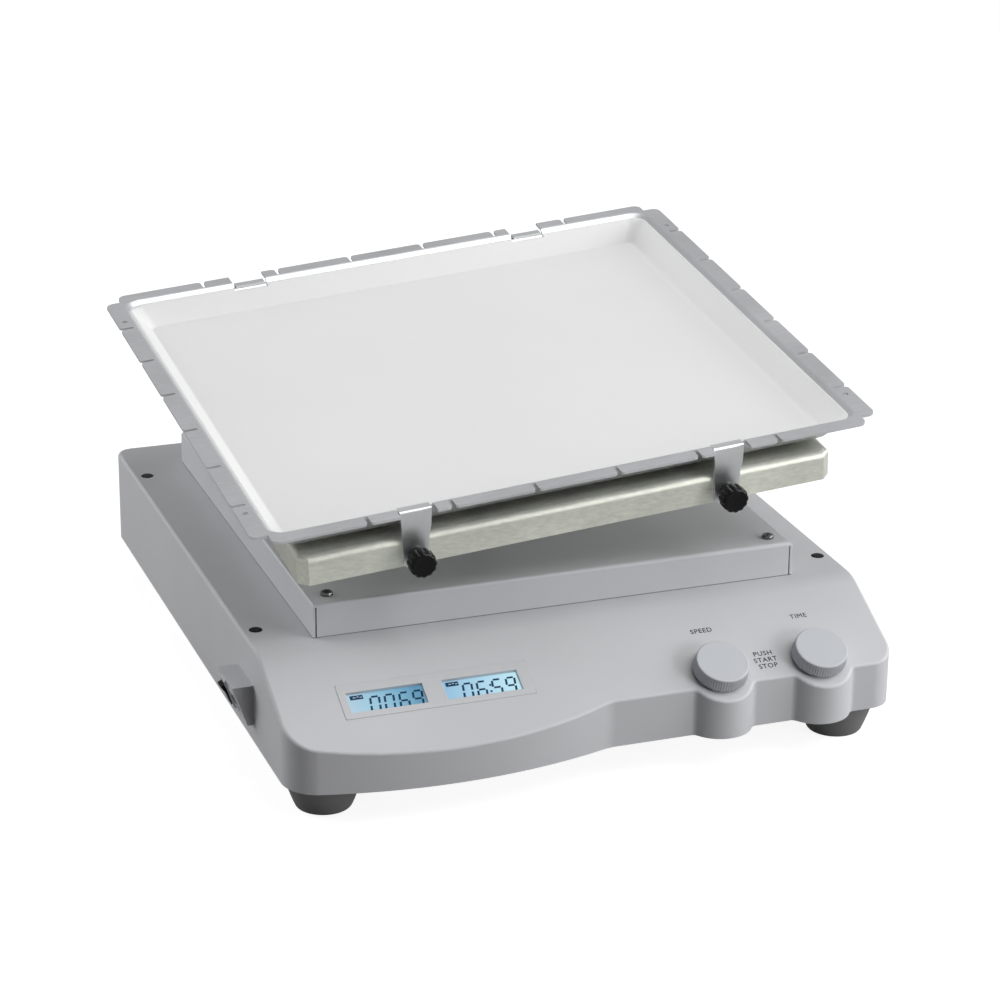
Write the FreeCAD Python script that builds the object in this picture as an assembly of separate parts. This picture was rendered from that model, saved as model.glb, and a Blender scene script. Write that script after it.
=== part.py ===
import FreeCAD
import Part
import math
import os

# Three-dimensional shaker for a laboratory bench. A moulded housing stands on
# four rubber feet. A belt drive inside it turns an upright crank whose top
# journal leans, so the deck on that journal nutates without spinning.
#
# Build frame: the crank axis is x = 0, y = 0 and the bench is z = 0. The front,
# with the display and the knobs, faces -Y. Lengths are millimetres.

V = FreeCAD.Vector
X_AXIS = V(1, 0, 0)
Y_AXIS = V(0, 1, 0)
Z_AXIS = V(0, 0, 1)

# Clearances
fit_gap = 0.1
running_gap = 0.05
moving_gap = 0.3

# Housing
housing_half_width = 184.5
housing_back_y = 187.5
housing_front_y = -218.0
housing_bottom_z = 20.5
housing_top_z = 79.0
housing_wall = 3.0
housing_back_corner = 10.0
housing_front_corner = 15.0
housing_bulge_corner = 22.0
housing_edge_round = 2.2
bulge_centre_x = -90.0
bulge_depth = 14.8
bulge_radius = 310.0
bulge_blend = 24.0
access_half = 122.0
access_corner = 12.0

# Sloping control panel
slope_start_y = -155.5
slope_angle = 25.5
slope_bend = 30.0

# Knobs and their encoders
knob_inset = [109.5, 47.3]
knob_slope = 59.4
knob_radius = 16.5
knob_height = 8.5
knob_lift = 1.2
knob_skirt_wall = 3.2
knob_crown = 2.4
knob_taper = 0.9
boss_radius = 20.0
boss_blend = 4.0
encoder_shaft_radius = 3.0
encoder_bush_radius = 3.6
encoder_side = 12.5
encoder_height = 6.5

# Displays
bezel_length = 112.4
bezel_width = 25.1
bezel_x = -91.5
bezel_slope = 43.2
bezel_proud = 0.3
bezel_depth = 2.4
window_left_margin = 4.65
window_bridge = 11.65
window_right_margin = 6.9
window_slope = 44.15
window_width = 14.4
display_margin = 3.2

# Control board under the panel
board_thickness = 1.6
board_drop = 11.0
board_left_inset = 28.5
board_right_inset = 25.5
board_slope = [29.0, 66.5]
board_edge = 4.0
chip_side = 12.0
chip_height = 2.4
chip_share = [0.3, 0.56, 0.78]
board_boss_radius = 3.2
board_screw_radius = 1.5

# Connector pod on the left side
pod_reach = 12.5
pod_foot_reach = 3.8
pod_top_z = 56.0
pod_bottom_z = 31.7
pod_y = [-148.2, -116.5]
pod_wall = 2.0
switch_y = -123.8
switch_width = 12.0
switch_length = 18.5
switch_rim = 1.2
switch_depth = 7.0
rocker_width = 7.2
rocker_length = 14.0
rocker_throw = 16.0
rocker_pin_radius = 1.0
rocker_pin_drop = 1.5
inlet_y = -136.6
inlet_width = 10.0
inlet_length = 12.5
inlet_depth = 10.5
inlet_hole_radius = 3.6
inlet_pin_radius = 1.0

# Screw posts and their plugs
post_inset = 8.5
post_front_inset = 32.0
post_back_inset = 54.0
post_radius = 6.0
plug_radius = 4.0
plug_depth = 3.0
screw_radius = 2.0
screw_head_radius = 3.6
screw_head_height = 2.4
head_drop = 8.0

# Base plate and feet
plate_thickness = 1.5
foot_inset = 27.0
foot_front_inset = 24.5
foot_back_inset = 29.5
foot_radius = 22.0
foot_toe_radius = 14.0
foot_recess_radius = 5.5
foot_recess_depth = 7.0
clinch_radius = 4.5
clinch_height = 4.0
vent_count = 9
vent_pitch = 9.0
vent_width = 4.0
vent_length = 46.0

# Folded top cover
cover_half_width = 148.5
cover_centre_y = 3.0
cover_half_depth = 148.5
cover_height = 21.0
cover_sheet = 1.5
cover_bend = 2.4
cover_seam = 0.8
cover_screw_inset = 11.5
cover_screw_inset_y = 11.0
standoff_radius = 5.0
cover_screw_length = 12.0

# Drive plate on its pillars
drive_plate_x = [-128.0, 78.0]
drive_plate_y = [-72.0, 88.0]
drive_plate_bottom_z = 60.0
drive_plate_thickness = 4.0
drive_plate_corner = 8.0
pillar_radius = 6.0
pillar_inset = 10.0

# Crank, its bearings and their housing
pivot_z = 151.2
lean_angle = 7.7
lean_azimuth = -126.2
deck_yaw = 0.55
bearing_bore_radius = 10.0
bearing_outer_radius = 21.0
bearing_width = 12.0
turret_wall = 5.0
turret_top_z = 114.0
turret_flange_radius = 42.0
turret_flange_height = 6.0
turret_bolt_radius = 34.0
shaft_bottom_z = 36.0
head_radius = 19.0
head_bottom_z = 117.5
head_top_drop = 18.0
journal_radius = 7.5
journal_bearing_radius = 17.5
journal_bearing_drop = 12.0
journal_bearing_rise = 8.0
journal_shoulder_radius = 10.5
seal_width = 7.0
seal_height = 3.0

# Belt drive
crank_pulley_radius = 30.0
motor_pulley_radius = 7.5
pulley_flange = 3.0
pulley_flange_thickness = 2.0
pulley_bottom_z = 44.0
pulley_height = 12.0
belt_thickness = 1.8
motor_x = -85.0
motor_radius = 28.0
motor_height = 29.0
motor_shaft_radius = 3.0
motor_pilot_radius = 11.0
motor_bolt_radius = 21.0
nut_across_flats = 24.0
nut_height = 6.0

# Guide that keeps the deck from spinning
guide_radius = 62.0
guide_post_radius = 4.0
guide_post_clear = 1.8
guide_fork_drop = 8.0
guide_fork_plate = 3.0
guide_fork_arm = 7.0
guide_fork_play = 3.2
guide_fork_lead = 6.0
guide_fork_tail = 8.0
guide_fork_tab = 12.0

# Deck, a folded pan turned upside down
deck_half_width = 163.0
deck_half_depth = 161.2
deck_drop = 20.3
deck_skirt = 17.7
deck_sheet = 1.5
deck_bend = 4.0
deck_corner_cut = 5.5
journal_cap_clear = 1.0
hub_flange_radius = 45.0
hub_flange_height = 5.0
hub_wall = 4.5
hub_bolt_radius = 36.0

# Tray
tray_rise = 35.0
tray_overhang_side = 15.7
tray_overhang_front = 1.2
tray_depth = 15.4
tray_flare = 13.4
tray_sheet = 1.5
tray_corner = 10.0
tray_floor_corner = 6.0
tray_bend = 3.0
tray_fold = 3.0
flange_side = 10.9
flange_front = 9.9
flange_end_gap = 0.9
flange_end_round = 5.0
slot_pitch = 49.6
slot_count = 6
slot_width = 2.2
slot_depth = 8.5
slot_mouth = 2.4
flange_hole_radius = 1.6
flange_hole_step = 10.0
flange_hole_inset = 5.5
rim_cut = 3.0
liner_thickness = 1.0
liner_top_drop = 2.5
liner_relief = 1.0
mat_margin = 14.0
mat_corner = 8.0

# Tray clamps
clamp_x = 95.0
clamp_width = 18.9
clamp_foot_width = 15.0
clamp_sheet = 1.5
clamp_notch_play = 1.5
clamp_stand = 1.5
clamp_hook_round = 1.3
clamp_lift = 4.0
clamp_web = 1.7
thumb_drop = 11.1
thumb_radius = 8.0
thumb_length = 9.0
thumb_neck_radius = 5.0
thumb_neck = 4.5
thumb_flutes = 12
thumb_flute_radius = 1.5
thumb_shank_radius = 2.5
thumb_shank = 11.0
clamp_nut_radius = 5.0
clamp_nut_height = 4.0

# Power board on the base plate
power_board_side_inset = 59.5
power_board_back_inset = 142.5
power_board_size = (84.0, 110.0)
power_board_lift = 8.0
power_board_hole_inset = 5.0
transformer_height = 20.0
capacitor_radius = 6.5
capacitor_height = 16.0
heat_sink_height = 18.0
heat_sink_fin = 2.0
power_standoff_radius = 3.5

# Values worked out from the driving ones
slope = math.radians(slope_angle)
knob_x = [housing_half_width - inset for inset in knob_inset]
cover_top_z = housing_top_z + cover_height
drive_plate_top_z = drive_plate_bottom_z + drive_plate_thickness
base_top_z = housing_bottom_z + plate_thickness
pod_tilt = math.degrees(math.atan2(pod_reach - pod_foot_reach, pod_top_z - pod_bottom_z))
pulley_top_z = pulley_bottom_z + pulley_height
post_x = housing_half_width - post_inset
post_y = [slope_start_y + post_front_inset, housing_back_y - post_back_inset]
foot_x = housing_half_width - foot_inset
foot_y = [housing_front_y + foot_front_inset, housing_back_y - foot_back_inset]
board_x = [board_left_inset - housing_half_width, housing_half_width - board_right_inset]
power_board_centre = (housing_half_width - power_board_side_inset,
                      housing_back_y - power_board_back_inset)
window_length = (bezel_length - window_left_margin - window_bridge - window_right_margin) / 2
window_first = bezel_x - bezel_length / 2 + window_left_margin + window_length / 2
window_x = [window_first, window_first + window_length + window_bridge]
turret_radius = bearing_outer_radius + turret_wall
hub_radius = journal_bearing_radius + hub_wall
crank_shaft_radius = bearing_bore_radius - running_gap
deck_top = tray_rise - deck_drop
deck_under = deck_top - deck_sheet
deck_bottom = deck_top - deck_skirt
tray_under = tray_rise - tray_depth - tray_sheet
tray_lean = tray_flare / tray_depth
tray_wall = tray_sheet * math.hypot(tray_flare, tray_depth) / tray_depth
tray_half_width = deck_half_width + tray_overhang_side
tray_half_depth = deck_half_depth + tray_overhang_front
flange_half_width = tray_half_width + flange_side
flange_half_depth = tray_half_depth + flange_front
rim_cut_z = tray_rise - rim_cut
rim_cut_inner = tray_half_depth - rim_cut * tray_lean
thumb_height = deck_top - thumb_drop
clamp_inner = deck_half_depth + moving_gap
clamp_outer = tray_half_depth + clamp_stand
clamp_notch = clamp_width / 2 + clamp_notch_play

# The row's origin is the middle of the footprint of the box round the whole shaker.
lean_reach = math.sin(math.radians(lean_angle)) * math.cos(math.radians(lean_azimuth))
right_reach = flange_half_width * math.sqrt(1 - lean_reach ** 2) + tray_rise * lean_reach
left_reach = housing_half_width + pod_reach
front_reach = -housing_front_y + bulge_depth
origin = V((right_reach - left_reach) / 2, (housing_back_y - front_reach) / 2, 0)


def box(x0, x1, y0, y1, z0, z1):
    return Part.makeBox(x1 - x0, y1 - y0, z1 - z0, V(x0, y0, z0))


def rod(radius, z0, z1, x=0.0, y=0.0):
    return Part.makeCylinder(radius, z1 - z0, V(x, y, z0))


def rounded_wire(half_x, half_y, corner, z, x=0.0, y=0.0):
    k = corner * (1 - math.sqrt(0.5))
    ends = []
    for sx, sy in ((1, 1), (-1, 1), (-1, -1), (1, -1)):
        side = V(x + sx * half_x, y + sy * (half_y - corner), z)
        mid = V(x + sx * (half_x - k), y + sy * (half_y - k), z)
        end = V(x + sx * (half_x - corner), y + sy * half_y, z)
        ends.append((side, mid, end) if sx * sy > 0 else (end, mid, side))
    edges = []
    for i, (start, mid, end) in enumerate(ends):
        edges.append(Part.Arc(start, mid, end).toShape())
        edges.append(Part.LineSegment(end, ends[(i + 1) % 4][0]).toShape())
    return Part.Wire(edges)


def rounded_block(half_x, half_y, corner, z0, z1, x=0.0, y=0.0):
    return Part.Face(rounded_wire(half_x, half_y, corner, z0, x, y)).extrude(V(0, 0, z1 - z0))


def chamfered_block(half_x, half_y, cut, z0, z1):
    corners = [(1, -1), (1, 1), (-1, 1), (-1, -1)]
    points = []
    for sx, sy in corners:
        side = V(sx * half_x, sy * (half_y - cut), z0)
        end = V(sx * (half_x - cut), sy * half_y, z0)
        points += [side, end] if sx * sy > 0 else [end, side]
    return polygon_prism(points, V(0, 0, z1 - z0))


def polygon_prism(points, along):
    return Part.Face(Part.makePolygon(points + [points[0]])).extrude(along)


def turned(profile, x=0.0, y=0.0):
    # A solid of revolution about an upright axis, from (radius, height) points.
    points = [V(r, 0, z) for r, z in profile]
    solid = Part.Face(Part.makePolygon(points + [points[0]])).revolve(V(0, 0, 0), Z_AXIS, 360)
    solid.translate(V(x, y, 0))
    return solid


def ring(inner, outer, z0, z1, x=0.0, y=0.0):
    return rod(outer, z0, z1, x, y).cut(rod(inner, z0 - 1, z1 + 1, x, y))


def hexagon(across_flats, z0, z1, x=0.0, y=0.0):
    r = across_flats / math.sqrt(3)
    points = [V(x + r * math.cos(math.radians(60 * i)), y + r * math.sin(math.radians(60 * i)), z0)
              for i in range(6)]
    return polygon_prism(points, V(0, 0, z1 - z0))


def fused(shapes):
    return shapes[0].multiFuse(shapes[1:]).removeSplitter() if len(shapes) > 1 else shapes[0]


def placed(shape, place):
    moved = shape.copy()
    moved.transformShape(place.toMatrix())
    return moved


def on_panel(x, down, lift=0.0):
    # A place on the sloping panel: x across, down the slope, lift off its face.
    base = V(x, slope_start_y - down * math.cos(slope) - lift * math.sin(slope),
             housing_top_z - down * math.sin(slope) + lift * math.cos(slope))
    return FreeCAD.Placement(base, FreeCAD.Rotation(X_AXIS, slope_angle))


def on_pod(y, up):
    # A place on the pod's leaning face, up its slope from its foot, with +Z outwards.
    tilt = math.radians(pod_tilt)
    base = V(-housing_half_width - pod_foot_reach - up * math.sin(tilt), y,
             pod_bottom_z + up * math.cos(tilt))
    return FreeCAD.Placement(base, FreeCAD.Rotation(Y_AXIS, -90 - pod_tilt))


def lean_place():
    azimuth = math.radians(lean_azimuth)
    lean_axis = V(-math.sin(azimuth), math.cos(azimuth), 0)
    return FreeCAD.Placement(V(0, 0, pivot_z), FreeCAD.Rotation(lean_axis, lean_angle))


def deck_place():
    # The deck's own frame: its origin is the pivot and +Z is the leaning journal.
    return lean_place().multiply(FreeCAD.Placement(V(0, 0, 0), FreeCAD.Rotation(Z_AXIS, deck_yaw)))


def screw(x, y, head_z, tip_z, radius=screw_radius, head=screw_head_radius):
    head_top = head_z + screw_head_height
    body = turned([(0, tip_z), (radius * 0.6, tip_z), (radius, tip_z + radius * 0.4),
                   (radius, head_z), (head, head_z), (head, head_z + screw_head_height * 0.5),
                   (head * 0.6, head_top), (0, head_top)], x, y)
    return body


def upright_edges(shape, spots):
    found = []
    for edge in shape.Edges:
        if len(edge.Vertexes) != 2:
            continue
        a = edge.Vertexes[0].Point
        b = edge.Vertexes[1].Point
        if abs(a.x - b.x) > 1e-4 or abs(a.y - b.y) > 1e-4:
            continue
        if any(math.hypot(a.x - x, a.y - y) < 0.02 for x, y in spots):
            found.append(edge)
    return found


def upper_rim_edges(shape):
    # Edges between an upright wall and the top, the bend or the sloping panel.
    found = []
    for edge in shape.Edges:
        faces = shape.ancestorsOfType(edge, Part.Face)
        if len(faces) != 2:
            continue
        middle = edge.valueAt((edge.FirstParameter + edge.LastParameter) / 2)
        ups = []
        for face in faces:
            u, v = face.Surface.parameter(middle)
            ups.append(face.normalAt(u, v).z)
        if min(abs(n) for n in ups) < 0.01 and max(ups) > 0.5:
            found.append(edge)
    return found


def knob_centre(i):
    return on_panel(knob_x[i], knob_slope).Base


def housing_plan(inset, z0, z1):
    # The plan outline as an upright prism, with every wall moved in by inset.
    half = housing_half_width - inset
    back = housing_back_y - inset
    front = housing_front_y + inset
    radius = bulge_radius - inset
    centre_y = housing_front_y - bulge_depth + bulge_radius
    left_dy = math.sqrt(radius ** 2 - (half + bulge_centre_x) ** 2)
    left_front = centre_y - left_dy
    join_x = bulge_centre_x + math.sqrt(radius ** 2 - (centre_y - front) ** 2)
    corners = [V(-half, back, z0), V(half, back, z0), V(half, front, z0), V(join_x, front, z0)]
    edges = [Part.LineSegment(corners[i], corners[i + 1]).toShape() for i in range(3)]
    left_corner = V(-half, left_front, z0)
    peak = V(bulge_centre_x, centre_y - radius, z0)
    edges.append(Part.Arc(corners[3], peak, left_corner).toShape())
    edges.append(Part.LineSegment(left_corner, corners[0]).toShape())
    prism = Part.Face(Part.Wire(edges)).extrude(V(0, 0, z1 - z0))
    seams = []
    for i in range(2):
        spot = knob_centre(i)
        prism = prism.fuse(rod(boss_radius - inset, z0, z1, spot.x, spot.y))
        chord = math.sqrt((boss_radius - inset) ** 2 - (spot.y - front) ** 2)
        seams += [(spot.x - chord, front), (spot.x + chord, front)]
    prism = prism.removeSplitter()
    prism = prism.makeFillet(boss_blend + inset, upright_edges(prism, seams))
    prism = prism.makeFillet(bulge_blend + inset, upright_edges(prism, [(join_x, front)]))
    prism = prism.makeFillet(housing_bulge_corner - inset,
                             upright_edges(prism, [(-half, left_front)]))
    prism = prism.makeFillet(housing_front_corner - inset, upright_edges(prism, [(half, front)]))
    return prism.makeFillet(housing_back_corner - inset,
                            upright_edges(prism, [(-half, back), (half, back)]))


def housing_side(inset, z0):
    # The side profile, flat top, bend and slope, as a prism across the housing.
    far = housing_front_y - bulge_depth - 20
    reach = housing_half_width + 10
    top = housing_top_z - inset
    bend_y = slope_start_y + inset * math.tan(slope / 2)
    bend = (slope_bend - inset) * math.tan(slope / 2)
    slope_end = top - (bend_y - far) * math.tan(slope)
    flat_end = V(-reach, bend_y + bend, top)
    slope_top = V(-reach, bend_y - bend * math.cos(slope), top - bend * math.sin(slope))
    centre = flat_end - V(0, 0, slope_bend - inset)
    middle = centre + V(0, -math.sin(slope / 2), math.cos(slope / 2)) * (slope_bend - inset)
    back = housing_back_y + 10
    corners = [slope_top, V(-reach, far, slope_end), V(-reach, far, z0), V(-reach, back, z0),
               V(-reach, back, top), flat_end]
    edges = [Part.LineSegment(corners[i], corners[i + 1]).toShape() for i in range(5)]
    edges.append(Part.Arc(flat_end, middle, slope_top).toShape())
    return Part.Face(Part.Wire(edges)).extrude(V(2 * reach, 0, 0))


def housing_form(inset, z0):
    return housing_plan(inset, z0, housing_top_z + 1).common(housing_side(inset, z0 - 1))


def pod_wedge(inset, inner_x):
    tilt = math.radians(pod_tilt)
    top = pod_top_z - inset
    foot = pod_bottom_z + inset

    def face_x(z):
        reach = pod_foot_reach + (z - pod_bottom_z) * math.tan(tilt)
        return -housing_half_width - reach + inset / math.cos(tilt)

    points = [V(inner_x, pod_y[0] + inset, top), V(face_x(top), pod_y[0] + inset, top),
              V(face_x(foot), pod_y[0] + inset, foot), V(inner_x, pod_y[0] + inset, foot)]
    return polygon_prism(points, V(0, pod_y[1] - pod_y[0] - 2 * inset, 0))


def panel_block(x0, x1, down0, down1, lift0, lift1):
    block = box(x0, x1, -down1, -down0, lift0, lift1)
    return placed(block, on_panel(0, 0))


def pod_block(y, half_y, half_up, z0, z1):
    return placed(box(-half_up, half_up, -half_y, half_y, z0, z1), on_pod(y, pod_middle()))


def board_boss_spots():
    middle = (board_x[0] + board_x[1]) / 2
    downs = (board_slope[0] + board_edge, board_slope[1] - board_edge)
    return [(x, d) for x in (board_x[0] + board_edge, middle, board_x[1] - board_edge)
            for d in downs]


def make_housing_shell():
    outer = housing_form(0, housing_bottom_z)
    outer = outer.makeFillet(housing_edge_round, upper_rim_edges(outer))
    outer = outer.fuse(pod_wedge(0, -housing_half_width + housing_wall / 2))
    shell = outer.cut(housing_form(housing_wall, housing_bottom_z - 1))
    shell = shell.cut(pod_wedge(pod_wall, -housing_half_width + housing_wall + 1))
    posts = []
    bosses = []
    for x in (-post_x, post_x):
        for y in post_y:
            posts.append(rod(post_radius, base_top_z, housing_top_z - housing_wall / 2, x, y))
    for x, down in board_boss_spots():
        stub = rod(board_boss_radius, -board_drop, -housing_wall / 2)
        bosses.append(placed(stub, on_panel(x, down)))
    shell = shell.multiFuse(posts + bosses)
    cuts = [rounded_block(access_half, access_half, access_corner,
                          housing_top_z - housing_wall - 1, housing_top_z + 1, 0, cover_centre_y)]
    for x in (-post_x, post_x):
        for y in post_y:
            cuts.append(rod(screw_radius + 0.2, base_top_z - 1, housing_top_z + 1, x, y))
            cuts.append(rod(plug_radius, housing_top_z - head_drop, housing_top_z + 1, x, y))
    for x, down in board_boss_spots():
        pilot = rod(board_screw_radius, -board_drop - 1, -housing_wall - 1)
        cuts.append(placed(pilot, on_panel(x, down)))
    cuts.append(panel_block(bezel_x - bezel_length / 2, bezel_x + bezel_length / 2,
                            bezel_slope - bezel_width / 2, bezel_slope + bezel_width / 2,
                            -housing_wall - 1, 2))
    for i in range(2):
        cuts.append(placed(rod(encoder_bush_radius, -housing_wall - 1, 2),
                           on_panel(knob_x[i], knob_slope)))
    cuts.append(pod_block(switch_y, switch_width / 2 - switch_rim,
                          switch_length / 2 - switch_rim, -pod_wall - 3, 2))
    cuts.append(pod_block(inlet_y, inlet_width / 2, inlet_length / 2, -pod_wall - 3, 2))
    return shell.cut(Part.makeCompound(cuts)).removeSplitter()


def plate_spots():
    xs = (drive_plate_x[0] + pillar_inset, drive_plate_x[1] - pillar_inset)
    ys = (drive_plate_y[0] + pillar_inset, drive_plate_y[1] - pillar_inset)
    return [(x, y) for x in xs for y in ys]


def foot_spots():
    return [(x, y) for x in (-foot_x, foot_x) for y in foot_y]


def power_board_spots():
    half = [size / 2 - power_board_hole_inset for size in power_board_size]
    return [(power_board_centre[0] + sx * half[0], power_board_centre[1] + sy * half[1])
            for sx in (-1, 1) for sy in (-1, 1)]


def make_base_plate():
    plate = housing_plan(housing_wall + fit_gap, housing_bottom_z, base_top_z)
    nuts = []
    cuts = []
    for x, y in foot_spots():
        nuts.append(rod(clinch_radius, base_top_z, base_top_z + clinch_height, x, y))
        cuts.append(rod(screw_radius, housing_bottom_z - 1, base_top_z + clinch_height + 1, x, y))
    for x, y in plate_spots() + [(sx * post_x, y) for sx in (-1, 1) for y in post_y]:
        cuts.append(rod(screw_radius, housing_bottom_z - 1, base_top_z + 1, x, y))
    for i in range(vent_count):
        x = motor_x + (i - (vent_count - 1) / 2) * vent_pitch
        cuts.append(rounded_block(vent_width / 2, vent_length / 2, vent_width / 2 - 0.01,
                                  housing_bottom_z - 1, base_top_z + 1, x, 0))
    return plate.multiFuse(nuts).cut(Part.makeCompound(cuts)).removeSplitter()


def make_rubber_foot(x, y):
    top = housing_bottom_z
    shoulder = V(foot_radius, 0, top * 0.86)
    bulge = V(foot_radius * 0.88, 0, top * 0.44)
    toe = V(foot_toe_radius + 2, 0, 1.2)
    edges = [Part.LineSegment(V(0, 0, 0), V(foot_toe_radius, 0, 0)).toShape(),
             Part.LineSegment(V(foot_toe_radius, 0, 0), toe).toShape(),
             Part.Arc(toe, bulge, shoulder).toShape(),
             Part.LineSegment(shoulder, V(foot_radius, 0, top)).toShape(),
             Part.LineSegment(V(foot_radius, 0, top), V(0, 0, top)).toShape(),
             Part.LineSegment(V(0, 0, top), V(0, 0, 0)).toShape()]
    foot = Part.Face(Part.Wire(edges)).revolve(V(0, 0, 0), Z_AXIS, 360)
    foot = foot.cut(rod(foot_recess_radius, -1, foot_recess_depth))
    foot = foot.cut(rod(screw_radius, 0, top + 1))
    foot.translate(V(x, y, 0))
    return foot


def make_rubber_feet():
    return Part.makeCompound([make_rubber_foot(x, y) for x, y in foot_spots()])


def flipped_screw(x, y, seat_z, tip_z):
    # A screw driven upwards: its head hangs below seat_z and its tip reaches tip_z.
    turn = FreeCAD.Placement(V(0, 0, 0), FreeCAD.Rotation(X_AXIS, 180))
    return placed(screw(x, -y, -seat_z, -tip_z), turn)


def make_foot_screws():
    tip = base_top_z + clinch_height
    return Part.makeCompound([flipped_screw(x, y, foot_recess_depth, tip) for x, y in foot_spots()])


def make_housing_screws():
    seat = housing_top_z - head_drop
    return Part.makeCompound([screw(x, y, seat, housing_bottom_z)
                              for x in (-post_x, post_x) for y in post_y])


def make_hole_plugs():
    top = housing_top_z + 0.4
    plugs = []
    for x in (-post_x, post_x):
        for y in post_y:
            plugs.append(turned([(0, top - plug_depth), (plug_radius - fit_gap, top - plug_depth),
                                 (plug_radius - fit_gap, housing_top_z),
                                 (plug_radius - 0.8, top), (0, top)], x, y))
    return Part.makeCompound(plugs)


def cover_screw_spots():
    dx = cover_half_width - cover_screw_inset
    dy = cover_half_depth - cover_screw_inset_y
    return [(sx * dx, cover_centre_y + sy * dy) for sx in (-1, 1) for sy in (-1, 1)]


def make_top_cover():
    z0 = housing_top_z
    outer = box(-cover_half_width, cover_half_width, cover_centre_y - cover_half_depth,
                cover_centre_y + cover_half_depth, z0, cover_top_z)
    rim = [e for e in outer.Edges if all(abs(p.Z - cover_top_z) < 1e-6 for p in e.Vertexes)]
    outer = outer.makeFillet(cover_bend, rim)
    hx = cover_half_width - cover_sheet
    hy = cover_half_depth - cover_sheet
    inner = box(-hx, hx, cover_centre_y - hy, cover_centre_y + hy, z0 - 1, cover_top_z - cover_sheet)
    rim = [e for e in inner.Edges
           if all(abs(p.Z - cover_top_z + cover_sheet) < 1e-6 for p in e.Vertexes)]
    inner = inner.makeFillet(cover_bend - cover_sheet, rim)
    cuts = [inner, rod(turret_radius + 0.5, z0, cover_top_z + 1),
            rod(guide_post_radius + fit_gap, z0, cover_top_z + 1, 0, guide_radius)]
    for x, y in cover_screw_spots():
        cuts.append(rod(screw_radius, z0, cover_top_z + 1, x, y))
    for sx in (-1, 1):
        for sy in (-1, 1):
            x = sx * (cover_half_width - cover_sheet - cover_seam / 2)
            y = cover_centre_y + sy * cover_half_depth
            cuts.append(box(x - cover_seam / 2, x + cover_seam / 2, y - 2 * cover_sheet,
                            y + 2 * cover_sheet, z0 - 1, cover_top_z - cover_bend))
    return outer.cut(Part.makeCompound(cuts)).removeSplitter()


def make_cover_standoffs():
    posts = []
    for x, y in cover_screw_spots():
        post = rod(standoff_radius, housing_top_z, cover_top_z - cover_sheet, x, y)
        posts.append(post.cut(rod(screw_radius, cover_top_z - cover_screw_length - 2,
                                  cover_top_z, x, y)))
    return Part.makeCompound(posts)


def make_cover_screws():
    return Part.makeCompound([screw(x, y, cover_top_z, cover_top_z - cover_screw_length)
                              for x, y in cover_screw_spots()])


def make_display_bezel():
    low = bezel_proud - bezel_depth
    plate = rounded_block(bezel_length / 2 - fit_gap, bezel_width / 2 - fit_gap, 1.0, low,
                          bezel_proud, bezel_x, -bezel_slope)
    top = [e for e in plate.Edges if all(abs(p.Z - bezel_proud) < 1e-6 for p in e.Vertexes)]
    plate = plate.makeChamfer(0.25, top)
    for x in window_x:
        plate = plate.cut(box(x - window_length / 2, x + window_length / 2,
                              -window_slope - window_width / 2, -window_slope + window_width / 2,
                              low - 1, bezel_proud + 1))
    return placed(plate, on_panel(0, 0))


def make_display(i):
    x = window_x[i]
    hx = window_length / 2 + display_margin
    hy = window_width / 2 + display_margin
    top = bezel_proud - bezel_depth
    glass = box(x - hx, x + hx, -window_slope - hy, -window_slope + hy, top - 2.8, top)
    carrier = box(x - hx + 1, x + hx - 1, -window_slope - hy + 1, -window_slope + hy - 1,
                  -board_drop, top - 2.8)
    return placed(glass.fuse(carrier), on_panel(0, 0))


def make_control_board():
    board = box(board_x[0], board_x[1], -board_slope[1], -board_slope[0],
                -board_drop - board_thickness, -board_drop)
    cuts = [rod(board_screw_radius, -board_drop - 5, -board_drop + 1, x, -down)
            for x, down in board_boss_spots()]
    board = board.cut(Part.makeCompound(cuts))
    chip_top = -board_drop - board_thickness
    middle = -(board_slope[0] + board_slope[1]) / 2
    chips = []
    for share in chip_share:
        x = board_x[0] + share * (board_x[1] - board_x[0])
        chips.append(box(x - chip_side / 2, x + chip_side / 2, middle - chip_side / 2,
                         middle + chip_side / 2, chip_top - chip_height, chip_top))
    return placed(fused([board] + chips), on_panel(0, 0))


def make_board_screws():
    screws = []
    turn = FreeCAD.Placement(V(0, 0, 0), FreeCAD.Rotation(X_AXIS, 180))
    for x, down in board_boss_spots():
        seat = board_drop + board_thickness
        one = placed(screw(x, down, seat, seat - 6, board_screw_radius, 2.7), turn)
        screws.append(placed(one, on_panel(0, 0)))
    return Part.makeCompound(screws)


def make_encoder_body(i):
    x = knob_x[i]
    half = encoder_side / 2
    body = box(x - half, x + half, -knob_slope - half, -knob_slope + half,
               -board_drop, -board_drop + encoder_height)
    bush = rod(encoder_bush_radius - fit_gap, -board_drop, -0.2, x, -knob_slope)
    bore = rod(encoder_shaft_radius + running_gap, -board_drop + 2, 1, x, -knob_slope)
    return placed(body.fuse(bush).cut(bore).removeSplitter(), on_panel(0, 0))


def knob_bore_top():
    return knob_lift + knob_height - knob_crown


def make_encoder_shaft(i):
    top = knob_bore_top() - 1.2
    shaft = turned([(0, -board_drop + 2 + moving_gap),
                    (encoder_shaft_radius, -board_drop + 2 + moving_gap),
                    (encoder_shaft_radius, top - 0.5), (encoder_shaft_radius - 0.5, top), (0, top)])
    return placed(shaft, on_panel(knob_x[i], knob_slope))


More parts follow.
